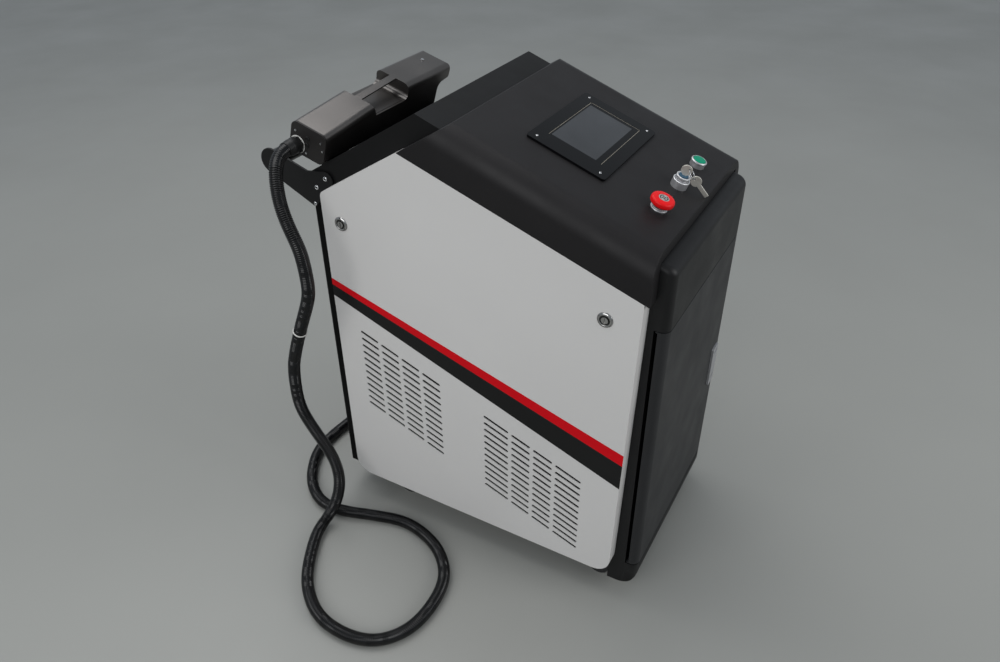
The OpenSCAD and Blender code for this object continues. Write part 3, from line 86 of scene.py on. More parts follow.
# Gun: its frame, and places along that frame's y and z on the end plate
GUN_PLACE = Vector((-0.2075, 0.2415, 0.790944))
GUN_TILT = math.radians(16.5)
END_PLATE_T = 0.004
NUT_PLACE = (0.0588, 0.017)
END_SOCKETS = ((0.0385, 0.0375), (0.0385, 0.0245))

# Sides of the cabinet: the chassis' half width, the panels' depth, and places as y and z
INNER_X = 0.197
PANEL_D = 0.028
HANDLE_T = 0.004
LOCKS = ((0.205, 0.69417), (-0.312, 0.65353))
# The handle's screws with the radius of each head, and the bezel's screws
PLATE_SCREWS = ((0.25, 0.76219, 0.0046), (0.2728, 0.74099, 0.0046), (0.2812, 0.70699, 0.0037))
PLATE_SCREW_T = 0.0018
BEZEL_SCREW_R, BEZEL_SCREW_T = 0.0022, 0.0012

# Hood: where it is cut off the front housing, and how its edges and corners are rounded
HOOD_CUT_Z = 0.7
HOOD_R, HOOD_CORNER_R = 0.012, 0.015
HOOD_STEPS, HOOD_CORNER_STEPS = 8, 10

# Hose: radius over its ribs, its ribs, and how far its quick turns are eased
HOSE_R = 0.0125
RIB_PITCH, RIB_DEPTH, RIB_SHARPNESS = 0.0036, 0.0013, 1.5
POINTS_A_RIB = 4
HOSE_SIDES, HOSE_SMOOTH_DEG = 20, 75
EASE_POINTS, EASE_PASSES = 20, 2
TIE_HALF = 0.0016
SLEEVE_LENGTH, SLEEVE_STEPS, SLEEVE_SIDES = 0.015, 20, 32
SLEEVE_STEP_UP, SLEEVE_TAPER, SLEEVE_GROOVE = 0.0024, 0.0018, 0.0004
# Its route as the part has it, in millimetres; the stretches share the point at the tie ring
UPPER_ROUTE_MM = [(-230, 293, 824), (-242, 293, 824), (-255, 293, 824), (-275, 288, 815),
                  (-291, 279, 790), (-303, 267, 752), (-310, 247, 710), (-311, 230, 672),
                  (-306, 230, 603), (-300, 242, 563), (-296, 272, 498), (-295, 282, 475)]
LOWER_ROUTE_MM = [(-295, 282, 475), (-294, 292, 452), (-290, 312, 405), (-287, 327, 355),
                  (-285, 330, 264), (-285, 299, 205), (-292, 255, 160), (-307, 229, 118),
                  (-323, 233, 62), (-345, 247, 22), (-379, 247, 12.5), (-461, 204, 12.5),
                  (-512, 160, 12.5), (-547, 99, 12.5), (-552, 25, 12.5), (-530, -31, 12.5),
                  (-475, -67, 12.5), (-397, -71, 12.5), (-336, -50, 12.5), (-287, 7, 12.5),
                  (-266, 89, 12.5), (-282, 163, 12.5), (-306, 239, 12.5), (-305, 300, 12.5),
                  (-263, 361, 12.5), (-186, 408, 12.5), (-116, 415, 12.5), (-56, 410, 12.5),
                  (-5, 412, 16), (45, 415, 28), (82, 405, 46), (110, 377, 68), (120, 341, 92),
                  (120, 315, 92)]


# Frames of the sloping deck, the gun and the side panels
def deck_frame(x, s):
    """On the deck, s up its slope from the front edge: Z points off it."""
    return (Matrix.Translation(DECK_EDGE + Vector((x, 0, 0))) @ Matrix.Rotation(DECK_SLOPE, 4, "X")
            @ Matrix.Translation((0, s, 0)))


def gun_frame():
    return Matrix.Translation(GUN_PLACE) @ Matrix.Rotation(GUN_TILT, 4, "X")


def end_frame(v, w):
    """On the gun's end plate: Z points away from the gun."""
    return (gun_frame() @ Matrix.Translation((-END_PLATE_T, v, w))
            @ Matrix.Rotation(-math.pi / 2, 4, "Y"))


def side_frame(side, y, z):
    """On a side of the chassis, behind its panel: Z points outwards, Y up."""
    return (Matrix.Translation((side * INNER_X, y, z)) @ Matrix.Rotation(side * math.pi / 2, 4, "Y")
            @ Matrix.Rotation(side * math.pi / 2, 4, "Z"))


def lifted(place, height):
    return place @ Matrix.Translation((0, 0, height))


# Mesh helpers
def linked(name, data):
    obj = bpy.data.objects.new(name, data)
    bpy.context.scene.collection.objects.link(obj)
    return obj


def linked_shell(name, shell, smooth_deg):
    """An object from a bmesh, which it frees."""
    mesh = bpy.data.meshes.new(name)
    shell.to_mesh(mesh)
    shell.free()
    mesh.set_sharp_from_angle(angle=math.radians(smooth_deg))
    return linked(name, mesh)


def mesh_object(name, points, faces, place=None, smooth_deg=SMOOTH_DEG):
    mesh = bpy.data.meshes.new(name)
    mesh.from_pydata([tuple(p) for p in points], [], faces)
    mesh.validate()
    obj = linked(name, mesh)
    if place is not None:
        mesh.transform(place)
    mesh.polygons.foreach_set("use_smooth", [True] * len(mesh.polygons))
    mesh.set_sharp_from_angle(angle=math.radians(smooth_deg))
    return obj


def lathe(name, profile, place, sides=48, smooth_deg=SMOOTH_DEG):
    """Turns (radius, height) points round Z."""
    points, faces = [], []
    count = len(profile)
    for i in range(sides):
        a = 2 * math.pi * i / sides
        points += [(r * math.cos(a), r * math.sin(a), h) for r, h in profile]
    for i in range(sides):
        j = (i + 1) % sides
        for k in range(count - 1):
            faces.append((i * count + k, j * count + k, j * count + k + 1, i * count + k + 1))
    return mesh_object(name, points, faces, place, smooth_deg)


def arc(centre, radius, start_deg, end_deg, steps):
    angles = [math.radians(start_deg + (end_deg - start_deg) * i / steps) for i in range(steps + 1)]
    return [(centre[0] + radius * math.cos(a), centre[1] + radius * math.sin(a)) for a in angles]


def plate(name, outline, low, high, place):
    """Extrudes an XY outline from low to high."""
    count = len(outline)
    points = [(x, y, low) for x, y in outline] + [(x, y, high) for x, y in outline]
    faces = [tuple(reversed(range(count))), tuple(range(count, 2 * count))]
    faces += [(i, (i + 1) % count, count + (i + 1) % count, count + i) for i in range(count)]
    return mesh_object(name, points, faces, place, PLATE_SMOOTH_DEG)


def joined(name, objects, smooth_deg=SMOOTH_DEG):
    """One object from several that share a finish."""
    shell = bmesh.new()
    for obj in objects:
        shell.from_mesh(obj.data)
        bpy.data.objects.remove(obj)
    return linked_shell(name, shell, smooth_deg)


def soften(obj, width):
    bevel = obj.modifiers.new("edge", "BEVEL")
    bevel.width = width
    bevel.segments = EDGE_SEGMENTS
    bevel.limit_method = "ANGLE"
    bevel.angle_limit = math.radians(SMOOTH_DEG)
    bevel.use_clamp_overlap = True


def rounded_rect(w, h, r, steps=6):
    corners = [(w / 2 - r, h / 2 - r, 0), (r - w / 2, h / 2 - r, 90),
               (r - w / 2, r - h / 2, 180), (w / 2 - r, r - h / 2, 270)]
    points = []
    for x, y, start in corners:
        points += arc((x, y), r, start, start + 90, steps)
    return points


def smooth_path(points, step):
    """Catmull-Rom curve through the points, with about one point a step."""
    p = [Vector(q) for q in points]
    path = []
    for i in range(len(p) - 1):
        a, b, c, d = p[max(i - 1, 0)], p[i], p[i + 1], p[min(i + 2, len(p) - 1)]
        n = max(1, round((c - b).length / step))
        for k in range(n):
            t = k / n
            path.append(0.5 * (2 * b + (c - a) * t + (2 * a - 5 * b + 4 * c - d) * t * t
                               + (3 * b - a - 3 * c + d) * t ** 3))
    path.append(p[-1])
    return path


def eased(path, reach):
    """The path with its quick turns eased and its ends kept."""
    last = len(path) - 1
    for _ in range(EASE_PASSES):
        sums = [Vector()]
        for point in path:
            sums.append(sums[-1] + point)
        spans = [min(i, last - i, reach) for i in range(last + 1)]
        path = [(sums[i + span + 1] - sums[i - span]) / (2 * span + 1)
                for i, span in enumerate(spans)]
    return path


def swept(name, path, radii, sides, smooth_deg):
    """A tube round a path, one radius a point, with flat ends."""
    count = len(path)
    normal = None
    points, faces = [], []
    for i in range(count):
        tangent = (path[min(i + 1, count - 1)] - path[max(i - 1, 0)]).normalized()
        if normal is None:
            normal = tangent.orthogonal()
        normal = (normal - tangent * normal.dot(tangent)).normalized()
        other = tangent.cross(normal)
        for k in range(sides):
            a = 2 * math.pi * k / sides
            points.append(path[i] + radii[i] * (math.cos(a) * normal + math.sin(a) * other))
    for i in range(count - 1):
        for k in range(sides):
            m = (k + 1) % sides
            faces.append((i * sides + k, i * sides + m, (i + 1) * sides + m, (i + 1) * sides + k))
    faces.append(tuple(reversed(range(sides))))
    faces.append(tuple(range((count - 1) * sides, count * sides)))
    return mesh_object(name, points, faces, None, smooth_deg)


# Materials: a Principled shader with noise on its colour, roughness and surface.
# Scales are noise cells a metre, depths metres, and ranges the part of the noise that shows.
GRAIN_DEPTH = 0.0002
DUST_COLOUR, DUST_SCALE, DUST_RANGE = (0.25, 0.24, 0.22), 260.0, (0.62, 0.8)
SCRATCH_SCALE, SCRATCH_STRETCH = 900.0, (1.0, 0.04, 0.3)
SCRATCH_RANGE, SCRATCH_DEPTH = (0.6, 0.7), 0.0001
MIRROR_ROUGH, COAT_ROUGH = 0.02, 0.08


def noise_node(tree, vector, scale, detail, stretch=None):
    node = tree.nodes.new("ShaderNodeTexNoise")
    node.inputs["Scale"].default_value = scale
    node.inputs["Detail"].default_value = detail
    if stretch:
        mapping = tree.nodes.new("ShaderNodeMapping")
        mapping.inputs["Scale"].default_value = stretch
        tree.links.new(vector, mapping.inputs["Vector"])
        vector = mapping.outputs["Vector"]
    tree.links.new(vector, node.inputs["Vector"])
    return node.outputs["Fac"]


def ranged(tree, value, low, high, from_low=0.3, from_high=0.7):
    node = tree.nodes.new("ShaderNodeMapRange")
    for name, number in (("From Min", from_low), ("From Max", from_high),
                         ("To Min", low), ("To Max", high)):
        node.inputs[name].default_value = number
    tree.links.new(value, node.inputs["Value"])
    return node.outputs["Result"]


def mixed(tree, factor, first, second):
    node = tree.nodes.new("ShaderNodeMix")
    node.data_type = "RGBA"
    tree.links.new(factor, node.inputs["Factor"])
    for socket, value in ((node.inputs["A"], first), (node.inputs["B"], second)):
        if isinstance(value, bpy.types.NodeSocket):
            tree.links.new(value, socket)
        else:
            socket.default_value = (*value, 1)
    return node.outputs["Result"]


def scaled(colour, factor):
    return tuple(c * factor for c in colour)


def surface(name, colour, rough, metallic=0.0, vary=0.08, vary_scale=9.0, grain=500.0, bump=0.1,
            rough_vary=0.06, rough_scale=14.0, coat=0.0, stretch=None, dust=0.0, specular=0.5,
            scratches=0.0):
    """A finish with uneven colour and gloss, a fine grain, and optional dust and scratches."""
    material = bpy.data.materials.new(name)
    material.use_nodes = True
    tree = material.node_tree
    shader = tree.nodes["Principled BSDF"]
    vector = tree.nodes.new("ShaderNodeTexCoord").outputs["Object"]
    patches = ranged(tree, noise_node(tree, vector, vary_scale, 4.0), 0.0, 1.0)
    base = mixed(tree, patches, scaled(colour, 1 - vary), scaled(colour, 1 + vary))
    if dust:
        specks = ranged(tree, noise_node(tree, vector, DUST_SCALE, 6.0), 0.0, dust, *DUST_RANGE)
        base = mixed(tree, specks, base, DUST_COLOUR)
    tree.links.new(base, shader.inputs["Base Color"])
    gloss = ranged(tree, noise_node(tree, vector, rough_scale, 5.0, stretch),
                   max(rough - rough_vary, MIRROR_ROUGH), min(rough + rough_vary, 1.0))
    tree.links.new(gloss, shader.inputs["Roughness"])
    height = noise_node(tree, vector, grain, 2.0, stretch)
    relief = tree.nodes.new("ShaderNodeBump")
    relief.inputs["Strength"].default_value = bump
    relief.inputs["Distance"].default_value = GRAIN_DEPTH
    tree.links.new(height, relief.inputs["Height"])
    normal = relief.outputs["Normal"]
    if scratches:
        lines = ranged(tree, noise_node(tree, vector, SCRATCH_SCALE, 1.0, SCRATCH_STRETCH),
                       0.0, 1.0, *SCRATCH_RANGE)
        fine = tree.nodes.new("ShaderNodeBump")
        fine.inputs["Strength"].default_value = scratches
        fine.inputs["Distance"].default_value = SCRATCH_DEPTH
        tree.links.new(lines, fine.inputs["Height"])
        tree.links.new(normal, fine.inputs["Normal"])
        normal = fine.outputs["Normal"]
    tree.links.new(normal, shader.inputs["Normal"])
    shader.inputs["Metallic"].default_value = metallic
    shader.inputs["Coat Weight"].default_value = coat
    shader.inputs["Coat Roughness"].default_value = COAT_ROUGH
    shader.inputs["Specular IOR Level"].default_value = specular
    return material


FINISHES = {
    "panel_white": dict(colour=(0.63, 0.615, 0.6), rough=0.4, vary=0.02, vary_scale=3.0, grain=1100,
                        bump=0.12, rough_vary=0.05, specular=0.45),
    "deck_black": dict(colour=(0.0108, 0.0098, 0.0104), rough=0.5, vary=0.1, grain=900, bump=0.5,
                       dust=0.02, specular=0.22),
    "case_black": dict(colour=(0.0058, 0.0057, 0.006), rough=0.46, vary=0.12, grain=900, bump=0.45,
                       dust=0.02, specular=0.26),
    "door_grey": dict(colour=(0.0135, 0.0138, 0.015), rough=0.5, grain=900, bump=0.5, dust=0.02,
                      specular=0.35),
    "stripe_red": dict(colour=(0.62, 0.002, 0.008), rough=0.4, vary=0.04, grain=300, bump=0.03,
                       specular=0.12),
    "stripe_black": dict(colour=(0.007, 0.007, 0.007), rough=0.4, vary=0.05, grain=300, bump=0.03,
                         specular=0.2),
    "chrome": dict(colour=(0.7, 0.7, 0.71), rough=0.1, metallic=1.0, vary=0.03, bump=0.02,
                   rough_vary=0.04, scratches=0.05),
    "satin_chrome": dict(colour=(0.5, 0.5, 0.515), rough=0.42, metallic=0.75, vary=0.06,
                         vary_scale=60, grain=800, bump=0.01, rough_vary=0.02),
    # Painted highlight laid over the key switch collar's rounded rims
    "painted_rim_highlight": dict(colour=(0.85, 0.85, 0.86), rough=0.3, metallic=0.5, vary=0.03, vary_scale=60,
                       bump=0.01, rough_vary=0.03),
    "dark_chrome": dict(colour=(0.36, 0.355, 0.35), rough=0.14, metallic=1.0, vary=0.1,
                        vary_scale=90, bump=0.03, rough_vary=0.05, scratches=0.1),
    "steel": dict(colour=(0.45, 0.45, 0.46), rough=0.3, metallic=1.0, vary=0.06, grain=700,
                  bump=0.08, stretch=(1.0, 0.08, 1.0), scratches=0.1),
    "zinc": dict(colour=(0.55, 0.55, 0.56), rough=0.28, metallic=1.0, vary=0.1, vary_scale=60,
                 grain=300, bump=0.05),
    "fork_black": dict(colour=(0.02, 0.02, 0.021), rough=0.4, metallic=0.3, vary=0.15,
                       vary_scale=60, grain=400, bump=0.15, dust=0.15),
    "screen_black": dict(colour=(0.0022, 0.0022, 0.0028), rough=0.14, vary=0.1, grain=300,
                         bump=0.02, dust=0.01, specular=0.14),
    "screen_glass": dict(colour=(0.0022, 0.0022, 0.003), rough=0.08, vary=0.2, vary_scale=12,
                         grain=40, bump=0.01, rough_vary=0.04, dust=0.01, specular=0.14),
    "display": dict(colour=(0.026, 0.028, 0.032), rough=0.13, vary=0.3, grain=40, bump=0.01,
                    rough_vary=0.05, dust=0.05),
    "stop_red": dict(colour=(0.72, 0.006, 0.008), rough=0.36, vary=0.05, grain=400, bump=0.03,
                     specular=0.2),
    "stop_grey": dict(colour=(0.34, 0.33, 0.32), rough=0.4, vary=0.1, vary_scale=200),
    # Real dark plastic, and also painted shade in the screw sockets and the lock steps
    "dark_plastic": dict(colour=(0.008, 0.008, 0.008), rough=0.42, vary=0.12, grain=1000, bump=0.3,
                         specular=0.35),
    "start_green": dict(colour=(0.001, 0.25, 0.14), rough=0.34, vary=0.06, grain=300, bump=0.02,
                        specular=0.15),
    "key_blue": dict(colour=(0.02, 0.085, 0.15), rough=0.4, grain=400, bump=0.05),
    "key_brass": dict(colour=(0.66, 0.63, 0.57), rough=0.44, metallic=0.75, vary=0.12,
                      vary_scale=80, bump=0.15, scratches=0.3),
    "gun_grey": dict(colour=(0.125, 0.117, 0.112), rough=0.34, metallic=0.95, vary=0.05,
                     vary_scale=14, grain=1400, bump=0.15),
    "gun_dark": dict(colour=(0.085, 0.08, 0.077), rough=0.38, metallic=0.9, vary=0.06,
                     vary_scale=20, grain=1200, bump=0.15),
    "end_black": dict(colour=(0.03, 0.028, 0.027), rough=0.42, metallic=0.5, vary=0.06,
                      vary_scale=20, grain=1200, bump=0.12, specular=0.3),
    "strip_black": dict(colour=(0.002, 0.002, 0.002), rough=0.5, vary=0.1, grain=900, bump=0.3,
                        specular=0.08),
    "cover_black": dict(colour=(0.0045, 0.0044, 0.0046), rough=0.48, vary=0.12, grain=900,
                        bump=0.45, dust=0.015, specular=0.19),
    "lens_glass": dict(colour=(0.03, 0.045, 0.06), rough=0.05, vary=0.1, grain=30, bump=0.01,
                       coat=1.0),
    "switch_red": dict(colour=(0.4, 0.01, 0.01), rough=0.35, vary=0.05, grain=300, bump=0.03),
    "hose_black": dict(colour=(0.0022, 0.0022, 0.0026), rough=0.13, vary=0.2, vary_scale=30,
                       grain=900, bump=0.02, rough_vary=0.03, dust=0.004, specular=0.34),
    "wheel_black": dict(colour=(0.014, 0.014, 0.015), rough=0.6, vary=0.2, vary_scale=60, grain=700,
                        bump=0.3, dust=0.2),
    "bar_black": dict(colour=(0.008, 0.008, 0.0084), rough=0.36, vary=0.1, grain=800, bump=0.25,
                      specular=0.35),
    "film_edge": dict(colour=(0.2, 0.18, 0.145), rough=0.45, vary=0.3, vary_scale=40, grain=300),
    "pale_tie": dict(colour=(0.6, 0.59, 0.56), rough=0.45, vary=0.1, vary_scale=90),
    "floor": dict(colour=(0.285, 0.287, 0.27), rough=0.42, vary=0.03, vary_scale=1.2, grain=60,
                  bump=0.02, rough_vary=0.08, rough_scale=2.0),
}
materials = {name: surface(name, **look) for name, look in FINISHES.items()}


def wear(obj, material):
    if obj.data.materials:
        for i in range(len(obj.material_slots)):
            obj.material_slots[i].material = material
    else:
        obj.data.materials.append(material)


def piece(obj, body, slot, material=None, replaces=()):
    """Puts a finish on a new piece and lets it ride on a body."""
    wear(obj, materials[material or slot])
    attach(obj, body)
    if replaces:
        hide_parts(*replaces)
    return obj


# Finishes and widths of the broken edges, where they aren't the usual ones
NODE_FINISHES = {
    "chassis_frame": "strip_black", "rear_cover": "cover_black", "caster_plates": "fork_black",
    "latch_body": "satin_chrome", "latch_paddle": "satin_chrome",
    "gun_cover_plate": "gun_dark", "gun_end_plate": "end_black",
    **{f"caster_fork_{i}": "fork_black" for i in range(1, 5)},
    **{f"cam_lock_core_{i}": "dark_chrome" for i in range(1, 5)},
}
EDGE_WIDTHS = {
    "gun_body": 0.0008, "gun_end_plate": 0.0006, "gun_cover_plate": 0.0002, "gun_cradle": 0.001,
    "deck_cover": 0.0008, "front_door": 0.001, "screen_bezel": 0.0012, "key_ring": 0.0001,
    "left_side_panel": 0.0003, "right_side_panel": 0.0003, "rear_panel": 0.0003,
}


def dress_nodes():
    """Gives every model node its finish and broken edges."""
    for name, obj in frame["nodes"].items():
        wear(obj, materials[NODE_FINISHES.get(name, node_slots[name])])
        obj.modifiers.new("weld", "WELD").merge_threshold = WELD_REACH
        soften(obj, EDGE_WIDTHS.get(name, EDGE_WIDTH))
        obj.modifiers.new("shade", "WEIGHTED_NORMAL")


# Camera
def make_camera():
    data = bpy.data.cameras.new("camera")
    data.sensor_width = SENSOR_MM
    data.lens = SENSOR_MM * FOCAL_PX / PHOTO_WIDTH_PX
    obj = linked("camera", data)
    obj.location = CAMERA_PLACE
    obj.rotation_euler = Euler([math.radians(a) for a in CAMERA_TURN_DEG], "XYZ")
    bpy.context.scene.camera = obj


# Hose, and the tapered sleeves where it leaves the gun and enters the cabinet
def hose_radius(distance):
    groove = 0.5 - 0.5 * math.cos(2 * math.pi * distance / RIB_PITCH)
    return HOSE_R - RIB_DEPTH * groove ** RIB_SHARPNESS


def make_hose():
    route = [Vector(p) * MM for p in UPPER_ROUTE_MM + LOWER_ROUTE_MM[1:]]
    path = eased(smooth_path(route, RIB_PITCH / POINTS_A_RIB), EASE_POINTS)
    path = [Vector((p.x, p.y, max(p.z, HOSE_R))) for p in path]
    radii, distance = [], 0.0
    for i, point in enumerate(path):
        distance += (point - path[i - 1]).length if i else 0.0
        radii.append(hose_radius(distance))
    hose = swept("hose", path, radii, HOSE_SIDES, HOSE_SMOOTH_DEG)
    wear(hose, materials["hose_black"])
    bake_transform(hose)
    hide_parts("hose_upper", "hose_lower")
    make_tie(route)
    for name, part, body in (("gun_sleeve", path, "gun"), ("gland_sleeve", path[::-1], "cabinet")):
        make_sleeve(name, part, body)


def make_tie(route):
    """A narrow pale ring round the hose where its two stretches meet."""
    before, joint = route[len(UPPER_ROUTE_MM) - 2:len(UPPER_ROUTE_MM)]
    turn = (joint - before).to_track_quat("Z", "Y").to_matrix().to_4x4()
    r, half = HOSE_R + 0.0002, TIE_HALF
    ring = [(r, -half), (r + 0.0009, -half), (r + 0.0014, -half / 2), (r + 0.0014, half / 2),
            (r + 0.0009, half), (r, half)]
    tie = lathe("tie_ring", ring, Matrix.Translation(joint) @ turn, 40, ROUND_SMOOTH_DEG)
    return piece(tie, "cabinet", "zinc", "pale_tie", ("hose_tie",))


def make_sleeve(name, path, body):
    """A short ringed sleeve that tapers onto the hose."""
    start, tangent = path[0], (path[1] - path[0]).normalized()
    line, radii = [], []
    for i in range(SLEEVE_STEPS + 1):
        grooved = 3 < i < SLEEVE_STEPS - 2 and i % 4 < 2
        line.append(start + tangent * SLEEVE_LENGTH * i / SLEEVE_STEPS)
        radii.append(HOSE_R + SLEEVE_STEP_UP - SLEEVE_TAPER * (i / SLEEVE_STEPS)
                     - (SLEEVE_GROOVE if grooved else 0.0))
    piece(swept(name, line, radii, SLEEVE_SIDES, PLATE_SMOOTH_DEG), body, "dark_plastic")


# Front housing: the model's own, with its hood above the cut made again with soft upper edges
def make_hood():
    node = frame["nodes"]["front_housing"]
    (x0, y0, _), (x1, y1, z1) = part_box("front_housing")
    shell = bmesh.new()
    shell.from_mesh(node.data)
    bmesh.ops.remove_doubles(shell, verts=shell.verts, dist=WELD_REACH)
    cut = bmesh.ops.bisect_plane(shell, geom=shell.verts[:] + shell.edges[:] + shell.faces[:],
                                 plane_co=(0, 0, HOOD_CUT_Z), plane_no=(0, 0, 1), clear_outer=True)
    rim = [e for e in cut["geom_cut"] if isinstance(e, bmesh.types.BMEdge)]
    bmesh.ops.triangle_fill(shell, edges=rim, use_beauty=True)
    # Rings from the cut up to the deck's height, then round onto the top
    slope = math.tan(DECK_SLOPE)
    rings = []
    for step in range(-1, HOOD_STEPS + 1):
        angle = math.radians(90 * max(step, 0) / HOOD_STEPS)
        d, drop = HOOD_R * (1 - math.cos(angle)), HOOD_R * (1 - math.sin(angle))
        corners = [(x0 + HOOD_CORNER_R, y0 + HOOD_CORNER_R, 180, 270),
                   (x1 - HOOD_CORNER_R, y0 + HOOD_CORNER_R, 270, 360)]
        outline = [(x0 + d, y1)]
        for cx, cy, start, end in corners:
            outline += arc((cx, cy), HOOD_CORNER_R - d, start, end, HOOD_CORNER_STEPS)
        outline.append((x1 - d, y1))
        rings.append([shell.verts.new((x, y, HOOD_CUT_Z if step < 0
                                       else z1 - (y1 - y) * slope - drop)) for x, y in outline])
    count = len(rings[0])
    for low, high in zip(rings, rings[1:]):
        for i in range(count):
            j = (i + 1) % count
            shell.faces.new((low[i], low[j], high[j], high[i]))
    shell.faces.new(rings[-1])
    shell.faces.new(rings[0][::-1])
    bmesh.ops.recalc_face_normals(shell, faces=shell.faces)
    piece(linked_shell("soft_housing", shell, SMOOTH_DEG), "cabinet", node_slots["front_housing"],
          replaces=("front_housing",))


# The controls and fittings below are turned from profiles of (radius, height) in metres.

# Emergency stop: a mushroom head with a sunk grey insert, over a collar of two rings
def make_stop():
    place = deck_frame(STOP_X, CONTROL_S)
    low, r, t = 0.0088, 0.020, 0.011
    top = low + t
    profile = [(0.0062, low + 0.0008), (0.0062, low), (0.0142, low)]
    profile += arc((0.0166, low + 0.0034), 0.0034, -70, 0, 6)
    profile += arc((r - 0.0042, top - 0.0046), 0.0042, 0, 72, 7)
    profile += [(0.0132, top - 0.0002), (0.0104, top), (0.0096, top), (0.0093, top - 0.0006),
                (0.0, top - 0.0006)]
    piece(lathe("stop_head", profile, place, FINE_SIDES), "estop_knob", "stop_red",
          replaces=("estop_head",))
    insert = [(0.009, top - 0.0006), (0.009, top - 0.0002), (0.0, top - 0.0001)]
    piece(lathe("stop_insert", insert, place, 40), "estop_knob", "dark_plastic", "stop_grey")

    marks = [plate("bar", rounded_rect(0.0018, 0.0066, 0.0008), top - 0.0003, top,
                   place @ Matrix.Translation((i * 0.002, 0, 0))) for i in (-1, 1)]
    for turn in (0, 180):
        bow = arc((0, 0), 0.0072, 25 + turn, 155 + turn, 12)
        bow += arc((0, 0), 0.0056, 155 + turn, 25 + turn, 12)
        marks.append(plate("bow", bow, top - 0.0003, top, place))
    piece(joined("stop_slots", marks), "estop_knob", "dark_plastic")
    arrow = arc((0, 0), 0.0158, 15, 70, 8) + arc((0, 0), 0.0146, 70, 15, 8)
    for i in range(3):
        turned = place @ Matrix.Rotation(math.radians(120 * i), 4, "Z")
        piece(plate(f"stop_mark_{i + 1}", arrow, top - 0.0014, top - 0.0006, turned),
              "estop_knob", "dark_plastic", "stop_red")

    collar = [(0.0062, -SUNK), (0.0145, -SUNK), (0.0145, 0.0016), (0.0142, 0.0019),
              (0.0134, 0.0021), (0.0134, 0.0027), (0.014, 0.0029), (0.0143, 0.0032),
              (0.0143, 0.0041), (0.0139, 0.0045), (0.0062, 0.0045), (0.0062, -SUNK)]
    piece(lathe("stop_rings", collar, place, FINE_SIDES, ROUND_SMOOTH_DEG), "cabinet", "chrome",
          "satin_chrome", ("estop_collar",))


# Key switch and start button, turned with grooves and rims, with painted highlights on the key
# switch collar's rims
def make_switches():
    place = deck_frame(KEY_X, CONTROL_S)
    collar = [(0.0145, -SUNK), (0.0145, 0.0121)] + arc((0.0134, 0.0124), 0.0011, 0, 90, 4)
    collar += [(0.0126, 0.0135), (0.0121, 0.0129), (0.0114, 0.0129), (0.0114, 0.0192),
               (0.012, 0.0196)]
    collar += arc((0.0112, 0.0202), 0.0008, 0, 90, 4)
    collar += [(0.0092, 0.021), (0.0083, 0.0204), (0.0081, 0.019)]
    piece(lathe("switch_collar", collar, place, FINE_SIDES), "cabinet", "chrome", "satin_chrome",
          ("key_switch_body",))
    # Pale shells laid over the collar's two rounded rims: painted highlights
    for name, r, h in (("switch_rim_highlight", 0.0142, 0.0134), ("switch_top_rim_highlight", 0.0118, 0.0209)):
        rim = arc((r - 0.0004, h - 0.0006), 0.0009, -20, 130, 8)
        piece(lathe(name, rim, place, FINE_SIDES, ROUND_SMOOTH_DEG), "cabinet", "chrome",
              "painted_rim_highlight")

    place = deck_frame(START_X, CONTROL_S)
    body = [(0.0135, -SUNK), (0.0135, 0.0076), (0.0128, 0.008), (0.0128, 0.0084),
            (0.0141, 0.0088)]
    body += arc((0.0135, 0.0102), 0.001, 0, 60, 4)
    body += [(0.0128, 0.012), (0.0121, 0.012), (0.0117, 0.0114), (0.0117, 0.0095)]
    piece(lathe("start_ring", body, place, FINE_SIDES), "cabinet", "chrome", "satin_chrome",
          ("start_bezel",))
    cap = [(0.0115, 0.01), (0.0115, 0.0116), (0.0111, 0.0123), (0.0098, 0.0127), (0.006, 0.013),
           (0.0, 0.013)]
    piece(lathe("start_face", cap, place), "start_button", "start_green", replaces=("start_cap",))


# Button-head screws with sunk sockets, painted dark inside as shade
def screw_pair(place, r, t):
    head = [(r, 0), (r, t * 0.35), (r * 0.92, t * 0.7), (r * 0.74, t * 0.95), (r * 0.55, t),
            (r * 0.5, t * 0.9), (r * 0.47, t * 0.4), (0, t * 0.4)]
    return (lathe("head", head, place, 28, 40),
            lathe("socket", [(r * 0.46, t * 0.45), (0, t * 0.45)], place, 6))


def make_screws():
    screws = [(lifted(deck_frame(BEZEL_X + i * SCREWS_W / 2, BEZEL_S + j * SCREWS_H / 2), BEZEL_T),
               BEZEL_SCREW_R, BEZEL_SCREW_T) for i in (-1, 1) for j in (-1, 1)]
    screws += [(lifted(side_frame(side, y, z), HANDLE_T), r, PLATE_SCREW_T)
               for side in (-1, 1) for y, z, r in PLATE_SCREWS]
    heads, sockets = zip(*[screw_pair(*screw) for screw in screws])
    piece(joined("cover_screw_heads", heads, 40), "cabinet", "zinc", "chrome", ("cover_screws",))
    # Dark discs at the bottom of the steel sockets: painted shade
    piece(joined("cover_screw_socket_shade", sockets), "cabinet", "dark_plastic")


# Panel locks: domed rings with a sunk step round the slotted core, the step painted dark as shade
def make_locks():
    places = [side_frame(side, y, z) for side in (-1, 1) for y, z in LOCKS]
    out = PANEL_D + 0.003
    ring = [(0.014, PANEL_D), (0.014, PANEL_D + 0.0006), (0.0134, PANEL_D + 0.0015),
            (0.0122, PANEL_D + 0.0024), (0.0108, out - 0.0001), (0.01, out),
            (0.0094, out - 0.0002), (0.0088, out - 0.001), (0.0084, out - 0.0022)]
    step = [(0.0085, out - 0.0021), (0.0061, out - 0.0021), (0.0061, PANEL_D - 0.002)]
    rings = [lathe("ring", ring, place, FINE_SIDES, 50) for place in places]
    piece(joined("lock_rings", rings, 50), "cabinet", "chrome", "dark_chrome",
          ("cam_lock_housings",))
    # The sunk step is painted dark: painted shade in the lock's recess
    piece(joined("lock_step_shade", [lathe("step", step, place, 40) for place in places]),
          "cabinet", "dark_plastic")


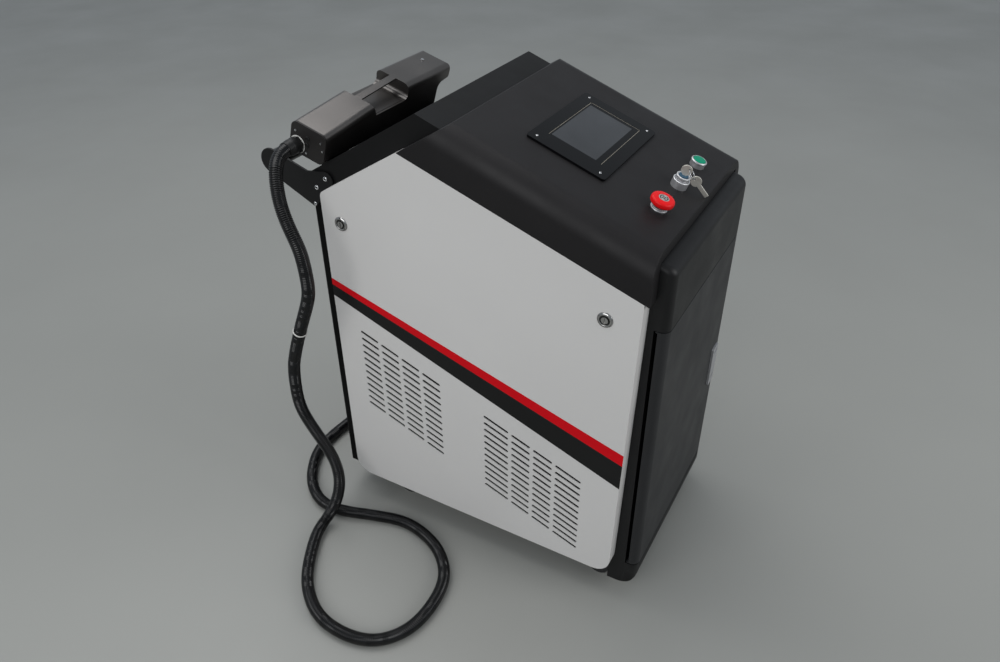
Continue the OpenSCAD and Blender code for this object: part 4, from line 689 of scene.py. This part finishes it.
# Screen: the display behind the glass, and the pale edge of its film
def make_screen():
    place = lifted(deck_frame(WINDOW_X, BEZEL_S), BEZEL_T)
    low, high = -0.0003, -0.0002
    shown = rounded_rect(WINDOW_W - 0.014, WINDOW_H - 0.016, 0.001)
    piece(plate("display", shown, low, high, place @ Matrix.Translation((-0.003, 0.004, 0))),
          "cabinet", "screen_glass", "display")
    half_w, half_h, line = WINDOW_W / 2, WINDOW_H / 2, 0.0004
    for name, x, y, w, h in (("film_rear", 0, half_h - line, half_w - 0.001, line),
                             ("film_right", half_w - line, 0, line, half_h - 0.001),
                             ("film_front", 0, line - half_h, half_w - 0.001, line)):
        strip = rounded_rect(2 * w, 2 * h, line * 0.6, 2)
        piece(plate(name, strip, low, high + 0.0001, place @ Matrix.Translation((x, y, 0))),
              "cabinet", "screen_glass", "film_edge")


# Gun: a pale washer behind the hose nut and two round sockets on the end plate
def make_gun_details():
    washer = [(0.0142, 0), (0.0163, 0), (0.0165, 0.0003), (0.0165, 0.0007), (0.0161, 0.001),
              (0.0142, 0.001)]
    piece(lathe("nut_washer", washer, end_frame(*NUT_PLACE)), "gun", "zinc", "pale_tie")
    socket = [(0.0046, 0), (0.0046, 0.0016), (0.0041, 0.0022), (0.0034, 0.0022), (0.003, 0.0012),
              (0.0, 0.0012)]
    sockets = [lathe("socket", socket, end_frame(v, w), 32) for v, w in END_SOCKETS]
    piece(joined("end_sockets", sockets), "gun", "dark_plastic")


def make_pieces():
    make_hose()
    make_hood()
    make_stop()
    make_switches()
    make_screws()
    make_locks()
    make_screen()
    make_gun_details()


# Floor and light
FLOOR_HALF, FLOOR_DROP = 9.0, 0.0002
WORLD_COLOUR, WORLD_STRENGTH = (0.86, 0.93, 1.0, 1), 0.45
LIGHT_TARGET = Vector((0, 0, 0.5))
# Name, place, width and height, watts
LIGHTS = (("roof", (0.3, 1.2, 3.6), (3.0, 2.4), 55),
          ("window", (-3.2, 0.4, 2.2), (2.6, 2.0), 46),
          ("front", (0.4, -3.4, 2.0), (2.2, 1.8), 45))


def make_stage():
    half = FLOOR_HALF
    corners = [(-half, -half, 0), (half, -half, 0), (half, half, 0), (-half, half, 0)]
    floor = mesh_object("floor", corners, [(0, 1, 2, 3)])
    floor.location.z = -FLOOR_DROP
    wear(floor, materials["floor"])


def make_light():
    world = bpy.data.worlds.new("studio")
    bpy.context.scene.world = world
    world.use_nodes = True
    background = world.node_tree.nodes["Background"]
    background.inputs["Color"].default_value = WORLD_COLOUR
    background.inputs["Strength"].default_value = WORLD_STRENGTH
    for name, place, size, watts in LIGHTS:
        data = bpy.data.lights.new(name, "AREA")
        data.shape = "RECTANGLE"
        data.size, data.size_y = size
        data.energy = watts
        obj = linked(name, data)
        obj.location = place
        obj.rotation_euler = (LIGHT_TARGET - Vector(place)).to_track_quat("-Z", "Y").to_euler()
    bpy.context.scene.view_settings.view_transform = "Standard"


make_camera()
make_pieces()
dress_nodes()
make_stage()
make_light()
